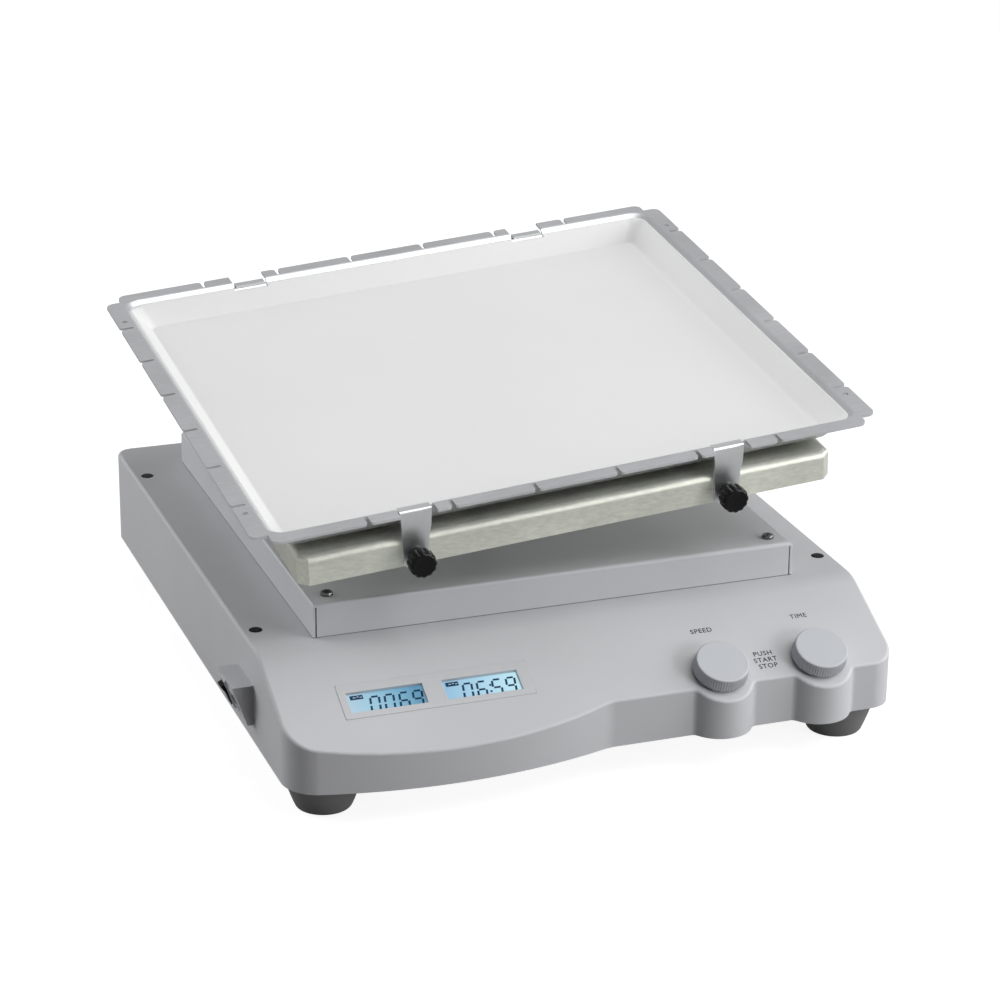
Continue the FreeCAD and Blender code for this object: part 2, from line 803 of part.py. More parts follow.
def make_knob(i):
    z0 = knob_lift
    z1 = knob_lift + knob_height
    bore = encoder_shaft_radius + running_gap
    hub = bore + 2.4
    hollow = knob_radius - knob_skirt_wall
    under = z0 + 3.2
    knob = turned([(bore, z0), (hub, z0), (hub, under), (hollow, under), (hollow, z0),
                   (knob_radius - 0.4, z0), (knob_radius, z0 + 0.5), (knob_radius - knob_taper, z1 - 0.9),
                   (knob_radius - knob_taper - 0.9, z1), (0, z1), (0, knob_bore_top()), (bore, knob_bore_top())])
    return placed(knob, on_panel(knob_x[i], knob_slope))


def make_switch_frame():
    hy = switch_width / 2
    hz = switch_length / 2
    rim = pod_block(switch_y, hy, hz, 0, switch_rim)
    body = pod_block(switch_y, hy - switch_rim - fit_gap, hz - switch_rim - fit_gap,
                     -switch_depth, switch_rim / 2)
    well = pod_block(switch_y, rocker_width / 2 + moving_gap, rocker_length / 2 + moving_gap,
                     -switch_depth + 1.2, switch_rim + 1)
    bearing = placed(rocker_pin(rocker_pin_radius + running_gap, hy), on_pod(switch_y, pod_middle()))
    return rim.fuse(body).cut(well).cut(bearing).removeSplitter()


def pod_middle():
    return (pod_top_z - pod_bottom_z) / math.cos(math.radians(pod_tilt)) / 2


def rocker_pin(radius, reach):
    return Part.makeCylinder(radius, 2 * reach, V(0, -reach, -rocker_pin_drop), Y_AXIS)


def rocker_profile_points(y):
    # The rocker's side view: two faces that meet in a shallow valley over its pivot.
    half = rocker_length / 2 - 0.35
    low = -switch_depth + 1.2 + 2.2
    ramp = math.tan(math.radians(rocker_throw / 2))
    high = switch_rim + 0.9
    return [V(-half, y, low + half * ramp + 0.6), V(0, y, low), V(half, y, low + half * ramp + 0.6),
            V(half, y, high + half * ramp), V(0, y, high), V(-half, y, high + half * ramp)]


def make_switch_rocker():
    points = rocker_profile_points(-rocker_width / 2)
    body = polygon_prism(points, V(0, rocker_width, 0))
    body = body.fuse(rocker_pin(rocker_pin_radius, switch_width / 2 - switch_rim - 2 * fit_gap))
    turn = FreeCAD.Rotation(Y_AXIS, -rocker_throw / 2)
    spin = FreeCAD.Placement(V(0, 0, 0), turn, V(0, 0, -rocker_pin_drop))
    return placed(placed(body, spin), on_pod(switch_y, pod_middle()))


def make_power_inlet():
    hy = inlet_width / 2
    hz = inlet_length / 2
    flange = pod_block(inlet_y, hy - fit_gap, hz - fit_gap, -inlet_depth, 0.4)
    middle = on_pod(inlet_y, pod_middle())
    hole = placed(rod(inlet_hole_radius, -inlet_depth + 1.5, 2), middle)
    pin = placed(rod(inlet_pin_radius, -inlet_depth + 1, -0.6), middle)
    return flange.cut(hole).fuse(pin).removeSplitter()


def make_power_board():
    x, y = power_board_centre
    hx = power_board_size[0] / 2
    hy = power_board_size[1] / 2
    z = base_top_z + power_board_lift
    board = box(x - hx, x + hx, y - hy, y + hy, z, z + board_thickness)
    top = z + board_thickness
    holes = [rod(screw_radius, z - 1, top + 1, px, py) for px, py in power_board_spots()]
    board = board.cut(Part.makeCompound(holes))
    left = x - 0.64 * hx
    right = x + 0.52 * hx
    parts = [board, box(left, x - 0.14 * hx, y - 0.72 * hy, y - 0.22 * hy, top,
                        top + transformer_height)]
    for share in (-0.62, -0.33, -0.04):
        parts.append(rod(capacitor_radius, top, top + capacitor_height, x + 0.29 * hx, y + share * hy))
    for share in (0.4, 0.51, 0.62, 0.73):
        fin = y + share * hy
        parts.append(box(left, right, fin, fin + heat_sink_fin, top, top + heat_sink_height))
    parts.append(box(left, right, y + 0.36 * hy, y + 0.8 * hy, top, top + heat_sink_fin))
    return fused(parts)


def make_board_standoffs():
    z = base_top_z + power_board_lift
    top = z + board_thickness
    posts = [rod(power_standoff_radius, base_top_z, z, x, y) for x, y in power_board_spots()]
    pegs = [rod(screw_radius - fit_gap, z, top + 3, x, y) for x, y in power_board_spots()]
    return Part.makeCompound([a.fuse(b) for a, b in zip(posts, pegs)])


def turret_bolt_spots():
    return [(turret_bolt_radius * math.cos(math.radians(45 + 90 * i)),
             turret_bolt_radius * math.sin(math.radians(45 + 90 * i))) for i in range(4)]


def motor_bolt_spots():
    return [(motor_x + motor_bolt_radius * math.cos(math.radians(60 + 120 * i)),
             motor_bolt_radius * math.sin(math.radians(60 + 120 * i))) for i in range(3)]


def make_drive_plate():
    z0 = drive_plate_bottom_z
    z1 = drive_plate_top_z
    hx = (drive_plate_x[1] - drive_plate_x[0]) / 2
    hy = (drive_plate_y[1] - drive_plate_y[0]) / 2
    cx = (drive_plate_x[1] + drive_plate_x[0]) / 2
    cy = (drive_plate_y[1] + drive_plate_y[0]) / 2
    plate = rounded_block(hx, hy, drive_plate_corner, z0, z1, cx, cy)
    cuts = [rod(bearing_bore_radius + 4, z0 - 1, z1 + 1),
            rod(motor_pilot_radius + fit_gap, z0 - 1, z1 + 1, motor_x, 0),
            rod(guide_post_radius, z0 - 1, z1 + 1, 0, guide_radius)]
    spots = turret_bolt_spots() + motor_bolt_spots() + plate_spots()
    cuts += [rod(screw_radius, z0 - 1, z1 + 1, x, y) for x, y in spots]
    return plate.cut(Part.makeCompound(cuts))


def make_plate_pillars():
    pillars = []
    for x, y in plate_spots():
        pillar = rod(pillar_radius, base_top_z, drive_plate_bottom_z, x, y)
        pillar = pillar.cut(rod(screw_radius, base_top_z - 1, base_top_z + 12, x, y))
        pillars.append(pillar.cut(rod(screw_radius, drive_plate_bottom_z - 12,
                                      drive_plate_bottom_z + 1, x, y)))
    return Part.makeCompound(pillars)


def make_pillar_screws():
    screws = [screw(x, y, drive_plate_top_z, drive_plate_bottom_z - 8) for x, y in plate_spots()]
    screws += [flipped_screw(x, y, housing_bottom_z, base_top_z + 8) for x, y in plate_spots()]
    return Part.makeCompound(screws)


def make_bearing_housing():
    z0 = drive_plate_top_z
    flange_top = z0 + turret_flange_height
    bore = bearing_outer_radius
    throat = bearing_outer_radius - 3
    lower_top = z0 + bearing_width
    upper_bottom = turret_top_z - bearing_width
    body = turned([(bore, z0), (turret_flange_radius, z0), (turret_flange_radius, flange_top - 1),
                   (turret_flange_radius - 1, flange_top), (turret_radius + 4, flange_top),
                   (turret_radius, flange_top + 5), (turret_radius, turret_top_z - 1),
                   (turret_radius - 1, turret_top_z), (bore, turret_top_z), (bore, upper_bottom),
                   (throat, upper_bottom), (throat, lower_top), (bore, lower_top)])
    cuts = [rod(screw_radius, z0 - 1, flange_top + 1, x, y) for x, y in turret_bolt_spots()]
    return body.cut(Part.makeCompound(cuts))


def make_turret_screws():
    seat = drive_plate_top_z + turret_flange_height
    return Part.makeCompound([screw(x, y, seat, drive_plate_bottom_z)
                              for x, y in turret_bolt_spots()])


def bearing(bore, outer, z0, z1):
    # A sealed ball bearing: two races with a shallow seal face between them.
    band = (outer - bore) / 4
    seal = 0.6
    return turned([(bore, z0), (bore + band, z0), (bore + band, z0 + seal),
                   (outer - band, z0 + seal), (outer - band, z0), (outer, z0), (outer, z1),
                   (outer - band, z1), (outer - band, z1 - seal), (bore + band, z1 - seal),
                   (bore + band, z1), (bore, z1)])


def make_lower_bearing():
    z0 = drive_plate_top_z
    return bearing(bearing_bore_radius, bearing_outer_radius, z0, z0 + bearing_width)


def make_upper_bearing():
    return bearing(bearing_bore_radius, bearing_outer_radius, turret_top_z - bearing_width,
                   turret_top_z)


def make_shaft_seal():
    z0 = cover_top_z
    inner = turret_radius
    outer = turret_radius + seal_width
    return turned([(inner, z0), (outer, z0), (outer, z0 + 1), (inner + 1.6, z0 + seal_height),
                   (inner, z0 + seal_height)])


def make_crank_shaft():
    # The upright shaft, the head above the bearings and the journal that leans.
    journal = journal_radius - running_gap
    shaft = turned([(0, shaft_bottom_z), (crank_shaft_radius - 1, shaft_bottom_z),
                    (crank_shaft_radius, shaft_bottom_z + 1),
                    (crank_shaft_radius, turret_top_z + moving_gap),
                    (crank_shaft_radius + 3, turret_top_z + moving_gap),
                    (crank_shaft_radius + 3, head_bottom_z), (head_radius, head_bottom_z),
                    (head_radius, pivot_z), (0, pivot_z)])
    above = placed(box(-90, 90, -90, 90, -head_top_drop, 90), lean_place())
    shoulder = rod(journal_shoulder_radius, -head_top_drop - 4,
                   -journal_bearing_drop - moving_gap)
    stub = rod(journal, -head_top_drop - 4, journal_bearing_rise)
    leaning = placed(shoulder.fuse(stub), lean_place())
    return shaft.cut(above).fuse(leaning).removeSplitter()


def make_journal_cap():
    z0 = journal_bearing_rise
    top = deck_under - journal_cap_clear
    cap = turned([(0, z0), (journal_radius, z0), (journal_radius, z0 + moving_gap),
                  (journal_radius + 3, z0 + moving_gap), (journal_radius + 3, z0 + 2.2),
                  (4, z0 + 2.2), (4, top - 0.8), (3, top), (0, top)])
    return placed(cap, lean_place())


def pulley(bore, seat, x=0.0):
    z0 = pulley_bottom_z
    z1 = pulley_top_z
    t = pulley_flange_thickness
    out = seat + pulley_flange
    return turned([(bore, z0), (out - 1, z0), (out, z0 + 1), (out, z0 + t), (seat, z0 + t),
                   (seat, z1 - t), (out, z1 - t), (out, z1 - 1), (out - 1, z1), (bore, z1)], x)


def make_crank_pulley():
    body = pulley(crank_shaft_radius, crank_pulley_radius)
    mid = (crank_shaft_radius + crank_pulley_radius) / 2
    holes = [rod(4.0, pulley_bottom_z - 1, pulley_top_z + 1, (mid + 1) * math.cos(math.radians(a)),
                 (mid + 1) * math.sin(math.radians(a))) for a in range(0, 360, 60)]
    return body.cut(Part.makeCompound(holes))


def make_crank_nut():
    nut = hexagon(nut_across_flats, pulley_bottom_z - nut_height, pulley_bottom_z)
    return nut.cut(rod(crank_shaft_radius, shaft_bottom_z - 5, pulley_top_z))


def make_motor_body():
    z0 = drive_plate_top_z
    z1 = z0 + motor_height
    bore = motor_shaft_radius + running_gap
    pilot_low = drive_plate_bottom_z + 1
    body = turned([(bore, pilot_low), (motor_pilot_radius, pilot_low), (motor_pilot_radius, z0),
                   (motor_radius, z0), (motor_radius, z0 + 4), (motor_radius - 1.5, z0 + 4),
                   (motor_radius - 1.5, z1 - 4), (motor_radius - 4, z1), (0, z1), (0, z1 - 8),
                   (bore, z1 - 8)], motor_x)
    cuts = [rod(screw_radius, z0 - 1, z0 + 6, x, y) for x, y in motor_bolt_spots()]
    return body.cut(Part.makeCompound(cuts))


def make_motor_screws():
    return Part.makeCompound([flipped_screw(x, y, drive_plate_bottom_z, drive_plate_top_z + 5)
                              for x, y in motor_bolt_spots()])


def make_motor_shaft():
    top = drive_plate_top_z + motor_height - 8 - moving_gap
    return rod(motor_shaft_radius, pulley_bottom_z, top, motor_x)


def make_motor_pulley():
    return pulley(motor_shaft_radius, motor_pulley_radius, motor_x)


def belt_loop(large, small, z0, z1):
    # The outline of a belt pulled tight round two pulleys, as a solid slab.
    reach = abs(motor_x)
    lead = math.acos((large - small) / reach)
    edges = []
    out = V(-math.cos(lead), math.sin(lead), 0)
    low = V(-math.cos(lead), -math.sin(lead), 0)
    far = V(motor_x, 0, 0)
    lift = V(0, 0, z0)
    edges.append(Part.Arc(out * large + lift, V(large, 0, z0), low * large + lift).toShape())
    edges.append(Part.LineSegment(low * large + lift, far + low * small + lift).toShape())
    edges.append(Part.Arc(far + low * small + lift, far + V(-small, 0, z0),
                          far + out * small + lift).toShape())
    edges.append(Part.LineSegment(far + out * small + lift, out * large + lift).toShape())
    return Part.Face(Part.Wire(edges)).extrude(V(0, 0, z1 - z0))


def make_drive_belt():
    z0 = pulley_bottom_z + pulley_flange_thickness + moving_gap
    z1 = pulley_top_z - pulley_flange_thickness - moving_gap
    large = crank_pulley_radius + moving_gap
    small = motor_pulley_radius + moving_gap
    outer = belt_loop(large + belt_thickness, small + belt_thickness, z0, z1)
    return outer.cut(belt_loop(large, small, z0 - 1, z1 + 1))


def guide_swing():
    return guide_radius * math.sin(math.radians(lean_angle))


def make_guide_post():
    top = pivot_z + deck_under - guide_swing() - guide_post_clear
    return turned([(0, drive_plate_bottom_z), (guide_post_radius, drive_plate_bottom_z),
                   (guide_post_radius, top - 1), (guide_post_radius - 1, top), (0, top)],
                  0, guide_radius)


def make_guide_fork():
    # A plate with a slot for the guide post, hung from the deck on an upright leg.
    half_slot = guide_post_radius + guide_fork_play
    half = half_slot + guide_fork_arm
    z1 = -guide_fork_drop + guide_fork_plate / 2
    z0 = z1 - guide_fork_plate
    near = guide_radius - half_slot - guide_fork_lead
    far = guide_radius + half_slot + guide_fork_tail
    plate = box(-half, half, near, far, z0, z1)
    slot = box(-half_slot, half_slot, near - 1, guide_radius + 1, z0 - 1, z1 + 1)
    slot = slot.fuse(rod(half_slot, z0 - 1, z1 + 1, 0, guide_radius + 1))
    leg = box(-half, half, far - guide_fork_plate, far, z0, deck_under)
    tab = box(-half, half, far - guide_fork_plate, far + guide_fork_tab,
              deck_under - guide_fork_plate, deck_under)
    fork = fused([plate.cut(slot), leg, tab])
    return placed(fork, deck_place())


def hub_bolt_spots():
    return [(hub_bolt_radius * math.cos(math.radians(45 + 90 * i)),
             hub_bolt_radius * math.sin(math.radians(45 + 90 * i))) for i in range(4)]


def make_platform_hub():
    top = deck_under
    flange_low = top - hub_flange_height
    low = -journal_bearing_drop - 1
    body = turned([(journal_bearing_radius, low), (hub_radius - 1, low), (hub_radius, low + 1),
                   (hub_radius, flange_low - 4), (hub_radius + 4, flange_low),
                   (hub_flange_radius - 1, flange_low), (hub_flange_radius, flange_low + 1),
                   (hub_flange_radius, top), (journal_bearing_radius, top)])
    cuts = [rod(screw_radius, flange_low - 1, top + 1, x, y) for x, y in hub_bolt_spots()]
    return placed(body.cut(Part.makeCompound(cuts)), deck_place())


def make_hub_bearings():
    middle = (journal_bearing_rise - journal_bearing_drop) / 2
    lower = bearing(journal_radius, journal_bearing_radius, -journal_bearing_drop, middle)
    upper = bearing(journal_radius, journal_bearing_radius, middle, journal_bearing_rise)
    return placed(Part.makeCompound([lower, upper]), deck_place())


def make_hub_screws():
    screws = []
    low = deck_under - hub_flange_height
    for x, y in hub_bolt_spots():
        shank = rod(screw_radius, low, deck_top - deck_sheet, x, y)
        head = turned([(0, deck_under), (screw_radius, deck_under), (screw_radius * 1.75, deck_top),
                       (0, deck_top)], x, y)
        screws.append(shank.fuse(head).removeSplitter())
    return placed(Part.makeCompound(screws), deck_place())


def make_deck():
    outer = chamfered_block(deck_half_width, deck_half_depth, deck_corner_cut, deck_bottom, deck_top)
    outer = outer.makeFillet(deck_bend, level_edges(outer, deck_top))
    inner_cut = deck_corner_cut - deck_sheet * (2 - math.sqrt(2))
    inner = chamfered_block(deck_half_width - deck_sheet, deck_half_depth - deck_sheet, inner_cut,
                            deck_bottom - 1, deck_under)
    inner = inner.makeFillet(deck_bend - deck_sheet, level_edges(inner, deck_under))
    cuts = [inner]
    for x, y in hub_bolt_spots():
        cuts.append(turned([(0, deck_under - 1), (screw_radius, deck_under - 1),
                            (screw_radius, deck_under), (screw_radius * 1.75, deck_top),
                            (screw_radius * 1.75, deck_top + 1), (0, deck_top + 1)], x, y))
    for x in (-clamp_x, clamp_x):
        hole = Part.makeCylinder(thumb_shank_radius + fit_gap, 2 * deck_half_depth + 20,
                                 V(x, -deck_half_depth - 10, thumb_height), Y_AXIS)
        cuts.append(hole)
    return placed(outer.cut(Part.makeCompound(cuts)).removeSplitter(), deck_place())


def make_clamp_nuts():
    nuts = []
    for x in (-clamp_x, clamp_x):
        for side in (-1, 1):
            face = side * (deck_half_depth - deck_sheet)
            base = V(x, face, thumb_height)
            nut = Part.makeCylinder(clamp_nut_radius, clamp_nut_height, base, V(0, -side, 0))
            bore = Part.makeCylinder(thumb_shank_radius + running_gap, clamp_nut_height + 2,
                                     base + V(0, side, 0), V(0, -side, 0))
            nuts.append(nut.cut(bore))
    return placed(Part.makeCompound(nuts), deck_place())


def make_anti_slip_mat():
    hx = tray_half_width - tray_flare - mat_margin
    hy = tray_half_depth - tray_flare - mat_margin
    return placed(rounded_block(hx, hy, mat_corner, deck_top, tray_under), deck_place())


def tray_cup(grow, floor_z, top_z):
    # The flared inside of the tray as a solid, its walls moved out by grow.
    def outline(z):
        inward = (tray_rise - z) * tray_lean - grow
        share = (tray_rise - z) / tray_depth
        corner = tray_corner + (tray_floor_corner - tray_corner) * share + grow
        return rounded_wire(tray_half_width - inward, tray_half_depth - inward, corner, z)

    return Part.makeLoft([outline(floor_z), outline(top_z)], True, True)


def level_edges(shape, z, half_x=1e6, half_y=1e6):
    # Edges that lie at one height, within a half width and a half depth.
    found = []
    for edge in shape.Edges:
        middle = edge.valueAt((edge.FirstParameter + edge.LastParameter) / 2)
        spots = [p.Point for p in edge.Vertexes] + [middle]
        if all(abs(p.z - z) < 1e-4 for p in spots) and abs(middle.x) < half_x \
                and abs(middle.y) < half_y:
            found.append(edge)
    return found


def softened_cup(grow, floor_z, top_z, radius):
    cup = tray_cup(grow, floor_z, top_z)
    return cup.makeFillet(radius, level_edges(cup, floor_z))


def make_tray_flange():
    z0 = tray_rise - tray_sheet
    end_x = tray_half_width + flange_end_gap
    end_y = tray_half_depth + tray_sheet - flange_end_gap
    sides = rounded_block(flange_half_width, end_y, flange_end_round, z0, tray_rise)
    fronts = rounded_block(end_x, flange_half_depth, flange_end_round, z0, tray_rise)
    return sides.fuse(fronts).removeSplitter()


def slot_spots():
    return [(i - (slot_count - 1) / 2) * slot_pitch for i in range(slot_count)]


def flange_slot(turn):
    # One slot in the right-hand flange, turned onto another side: its mouth flares out in arcs.
    half = slot_width / 2
    mouth = slot_mouth
    edge = flange_half_width if turn % 180 == 0 else flange_half_depth
    k = mouth * (1 - math.sqrt(0.5))
    z = tray_rise - tray_sheet - 1
    inner = edge - slot_depth
    corners = [V(inner + half, half, z), V(edge - mouth, half, z), V(edge, half + mouth, z),
               V(edge + 1, half + mouth, z), V(edge + 1, -half - mouth, z),
               V(edge, -half - mouth, z), V(edge - mouth, -half, z), V(inner + half, -half, z)]
    edges = [Part.LineSegment(corners[0], corners[1]).toShape(),
             Part.Arc(corners[1], V(edge - k, half + k, z), corners[2]).toShape(),
             Part.LineSegment(corners[2], corners[3]).toShape(),
             Part.LineSegment(corners[3], corners[4]).toShape(),
             Part.LineSegment(corners[4], corners[5]).toShape(),
             Part.Arc(corners[5], V(edge - k, -half - k, z), corners[6]).toShape(),
             Part.LineSegment(corners[6], corners[7]).toShape(),
             Part.Arc(corners[7], V(inner, 0, z), corners[0]).toShape()]
    cut = Part.Face(Part.Wire(edges)).extrude(V(0, 0, tray_sheet + 2))
    return placed(cut, FreeCAD.Placement(V(0, 0, 0), FreeCAD.Rotation(Z_AXIS, turn)))


def flange_cuts():
    # The edge slots, the corner holes and the notches that the clamps pass through.
    low = tray_rise - tray_sheet - 1
    cuts = []
    for turn in (0, 90, 180, 270):
        across = Y_AXIS if turn % 180 == 0 else X_AXIS
        for at in slot_spots():
            slot = flange_slot(turn)
            slot.translate(across * at)
            cuts.append(slot)
    hole_y = max(slot_spots()) + flange_hole_step
    for sx in (-1, 1):
        for sy in (-1, 1):
            cuts.append(rod(flange_hole_radius, low, tray_rise + 1,
                            sx * (flange_half_width - flange_hole_inset), sy * hole_y))
            cuts.append(clamp_notch_block(sx, sy, rim_cut_z))
    return Part.makeCompound(cuts)


def clamp_notch_block(sx, sy, low):
    # The room for one clamp's hook: everything above low, from inside the rim outwards.
    ys = sorted((sy * (rim_cut_inner - tray_wall - liner_relief - 1), sy * (flange_half_depth + 1)))
    return box(sx * clamp_x - clamp_notch, sx * clamp_x + clamp_notch, ys[0], ys[1], low,
               tray_rise + 1)


def make_tray_pan():
    outer = softened_cup(tray_wall, tray_under, tray_rise, tray_fold + tray_sheet)
    inner = softened_cup(0, tray_rise - tray_depth, tray_rise + 1, tray_fold)
    pan = outer.fuse(make_tray_flange()).cut(inner).removeSplitter()
    rim = level_edges(pan, tray_rise, tray_half_width + 0.01, tray_half_depth + 0.01)
    pan = pan.makeFillet(tray_bend, rim)
    neck = level_edges(pan, tray_rise - tray_sheet, tray_half_width + tray_wall,
                       tray_half_depth + tray_wall)
    pan = pan.makeFillet(tray_bend - tray_sheet, neck)
    return placed(pan.cut(flange_cuts()).removeSplitter(), deck_place())


def make_tray_liner():
    floor_z = tray_rise - tray_depth
    wall = liner_thickness * math.hypot(tray_flare, tray_depth) / tray_depth
    outer = softened_cup(0, floor_z, tray_rise - liner_top_drop, tray_fold)
    inner = softened_cup(-wall, floor_z + liner_thickness, tray_rise, tray_fold - liner_thickness)
    notches = [clamp_notch_block(sx, sy, rim_cut_z - liner_relief) for sx in (-1, 1)
               for sy in (-1, 1)]
    liner = outer.cut(inner).cut(Part.makeCompound(notches))
    return placed(liner.removeSplitter(), deck_place())


def clamp_side(side):
    # Turns the front clamp's frame round to the back for side = 1.
    turn = 0 if side < 0 else 180
    return deck_place().multiply(FreeCAD.Placement(V(0, 0, 0), FreeCAD.Rotation(Z_AXIS, turn)))


def make_clamp_strap(x, side):
    # A tapering strip that hooks over the tray's cut rim and lies down the deck's skirt.
    t = clamp_sheet
    lip_low = rim_cut_z + moving_gap
    lip_top = lip_low + t
    lip_in = rim_cut_inner - moving_gap
    bend = deck_top + 1
    slot_half = thumb_shank_radius + moving_gap
    slot_low = thumb_height - slot_half - clamp_lift
    tail = slot_low - clamp_web
    points = [(lip_in, lip_low), (clamp_outer, lip_low), (clamp_outer, tray_under + 4),
              (clamp_inner, bend), (clamp_inner, tail), (clamp_inner + t, tail),
              (clamp_inner + t, bend), (clamp_outer + t, tray_under + 4),
              (clamp_outer + t, lip_top), (lip_in, lip_top)]
    half = clamp_width / 2
    foot = clamp_foot_width / 2
    strip = polygon_prism([V(-half, -y, z) for y, z in points], V(2 * half, 0, 0))
    hook = [e for e in strip.Edges
            if all(abs(p.Y + clamp_outer + t) < 1e-4 and abs(p.Z - lip_top) < 1e-4 for p in e.Vertexes)]
    strip = strip.makeFillet(clamp_hook_round, hook)
    far = clamp_outer + 10
    outline = [V(-half, -far, lip_top), V(half, -far, lip_top), V(foot, -far, thumb_height),
               V(foot, -far, tail + foot / 2), V(foot / 2, -far, tail), V(-foot / 2, -far, tail),
               V(-foot, -far, tail + foot / 2), V(-foot, -far, thumb_height)]
    strip = strip.common(polygon_prism(outline, V(0, far, 0)))
    slot = box(-slot_half, slot_half, -far, 0, slot_low, thumb_height)
    slot = slot.fuse(Part.makeCylinder(slot_half, far, V(0, -far, thumb_height), Y_AXIS))
    strip = strip.cut(slot).removeSplitter()
    strip.translate(V(-x * side, 0, 0))
    return placed(strip, clamp_side(side))


def make_clamp_screw(x, side):
    # A fluted thumb knob with its shank, drawn upright and then laid along -Y.
    seat = clamp_inner + clamp_sheet + moving_gap
    length = thumb_neck + thumb_length
    head = turned([(0, 0), (thumb_neck_radius, 0), (thumb_neck_radius, thumb_neck),
                   (thumb_radius - 1, thumb_neck), (thumb_radius, thumb_neck + 1),
                   (thumb_radius, length - 1.5), (thumb_radius - 1.5, length), (0, length)])
    flutes = []
    for i in range(thumb_flutes):
        a = math.radians(360 * i / thumb_flutes)
        r = thumb_radius + thumb_flute_radius * 0.45
        flutes.append(rod(thumb_flute_radius, thumb_neck - 1, length + 1, r * math.cos(a),
                          r * math.sin(a)))
    head = head.cut(Part.makeCompound(flutes))
    shank = rod(thumb_shank_radius, seat - clamp_inner - thumb_shank, 0)
    body = head.fuse(shank).removeSplitter()
    lay = FreeCAD.Placement(V(-x * side, -seat, thumb_height), FreeCAD.Rotation(X_AXIS, 90))
    return placed(placed(body, lay), clamp_side(side))


def clamp_places():
    return {"front_left": (-clamp_x, -1), "front_right": (clamp_x, -1),
            "back_left": (-clamp_x, 1), "back_right": (clamp_x, 1)}


def build():
    nodes = {
        "housing_shell": make_housing_shell(),
        "base_plate": make_base_plate(),
        "rubber_feet": make_rubber_feet(),
        "foot_screws": make_foot_screws(),
        "housing_screws": make_housing_screws(),
        "hole_plugs": make_hole_plugs(),
        "top_cover": make_top_cover(),
        "cover_standoffs": make_cover_standoffs(),
        "cover_screws": make_cover_screws(),
        "display_bezel": make_display_bezel(),
        "speed_display": make_display(0),
        "time_display": make_display(1),
        "control_board": make_control_board(),
        "board_screws": make_board_screws(),
        "speed_encoder_body": make_encoder_body(0),
        "time_encoder_body": make_encoder_body(1),
        "speed_encoder_shaft": make_encoder_shaft(0),
        "time_encoder_shaft": make_encoder_shaft(1),
        "speed_knob": make_knob(0),
        "time_knob": make_knob(1),
        "switch_frame": make_switch_frame(),
        "switch_rocker": make_switch_rocker(),
        "power_inlet": make_power_inlet(),
        "power_board": make_power_board(),
        "board_standoffs": make_board_standoffs(),
        "drive_plate": make_drive_plate(),
        "plate_pillars": make_plate_pillars(),
        "pillar_screws": make_pillar_screws(),
        "bearing_housing": make_bearing_housing(),
        "turret_screws": make_turret_screws(),
        "lower_bearing": make_lower_bearing(),
        "upper_bearing": make_upper_bearing(),
        "shaft_seal": make_shaft_seal(),
        "crank_shaft": make_crank_shaft(),
        "journal_cap": make_journal_cap(),
        "crank_pulley": make_crank_pulley(),
        "crank_nut": make_crank_nut(),
        "motor_body": make_motor_body(),
        "motor_screws": make_motor_screws(),
        "motor_shaft": make_motor_shaft(),
        "motor_pulley": make_motor_pulley(),
        "drive_belt": make_drive_belt(),
        "guide_post": make_guide_post(),
        "guide_fork": make_guide_fork(),
        "platform_hub": make_platform_hub(),
        "hub_bearings": make_hub_bearings(),
        "hub_screws": make_hub_screws(),
        "platform_deck": make_deck(),
        "clamp_nuts": make_clamp_nuts(),
        "anti_slip_mat": make_anti_slip_mat(),
        "tray_pan": make_tray_pan(),
        "tray_liner": make_tray_liner(),
    }
    for place, (x, side) in clamp_places().items():
        nodes["clamp_strap_" + place] = make_clamp_strap(x, side)
        nodes["clamp_screw_" + place] = make_clamp_screw(x, side)
    return nodes


os.makedirs("parts", exist_ok=True)
for name, shape in build().items():
    shape.translate(-origin)
    shape.exportStep("parts/" + name + ".step")
    print(name, len(shape.Solids), round(shape.Volume, 1), shape.isValid())
print("origin", [round(v, 4) for v in origin])
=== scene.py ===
import math

import bmesh
import bpy
from mathutils import Matrix, Vector


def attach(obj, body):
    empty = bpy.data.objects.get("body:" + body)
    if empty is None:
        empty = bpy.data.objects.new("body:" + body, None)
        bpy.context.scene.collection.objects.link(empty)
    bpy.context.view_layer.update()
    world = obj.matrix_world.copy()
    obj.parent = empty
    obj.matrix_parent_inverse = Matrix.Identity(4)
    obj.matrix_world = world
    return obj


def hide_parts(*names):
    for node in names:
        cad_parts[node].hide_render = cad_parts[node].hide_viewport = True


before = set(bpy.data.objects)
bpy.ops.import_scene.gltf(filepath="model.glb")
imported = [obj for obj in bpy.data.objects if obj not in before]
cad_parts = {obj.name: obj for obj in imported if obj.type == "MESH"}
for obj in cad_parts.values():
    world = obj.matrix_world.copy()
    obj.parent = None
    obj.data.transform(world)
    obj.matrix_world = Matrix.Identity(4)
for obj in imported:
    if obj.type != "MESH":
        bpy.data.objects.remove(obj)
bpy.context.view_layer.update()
scene = bpy.context.scene
print("frame loaded:", len(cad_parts), "nodes")

mm = 0.001

# Places on the machine, the same as in the solids: millimetres from the crank's axis, and degrees
machine = {"axis": (5.3821, 22.65), "slope": 25.5, "panelTop": (-155.5, 79.0), "coverTop": 100.0,
           "podFoot": (-188.3, 31.7), "podFace": (8.7, 24.3), "inletY": -136.6, "pivot": 151.2,
           "lean": 7.7, "azimuth": -126.2, "deckTurn": 0.55}
driveAxis = Vector((*machine["axis"], 0)) * mm


def place(x=0.0, y=0.0, z=0.0):
    return Matrix.Translation(Vector((x, y, z)) * mm + driveAxis)


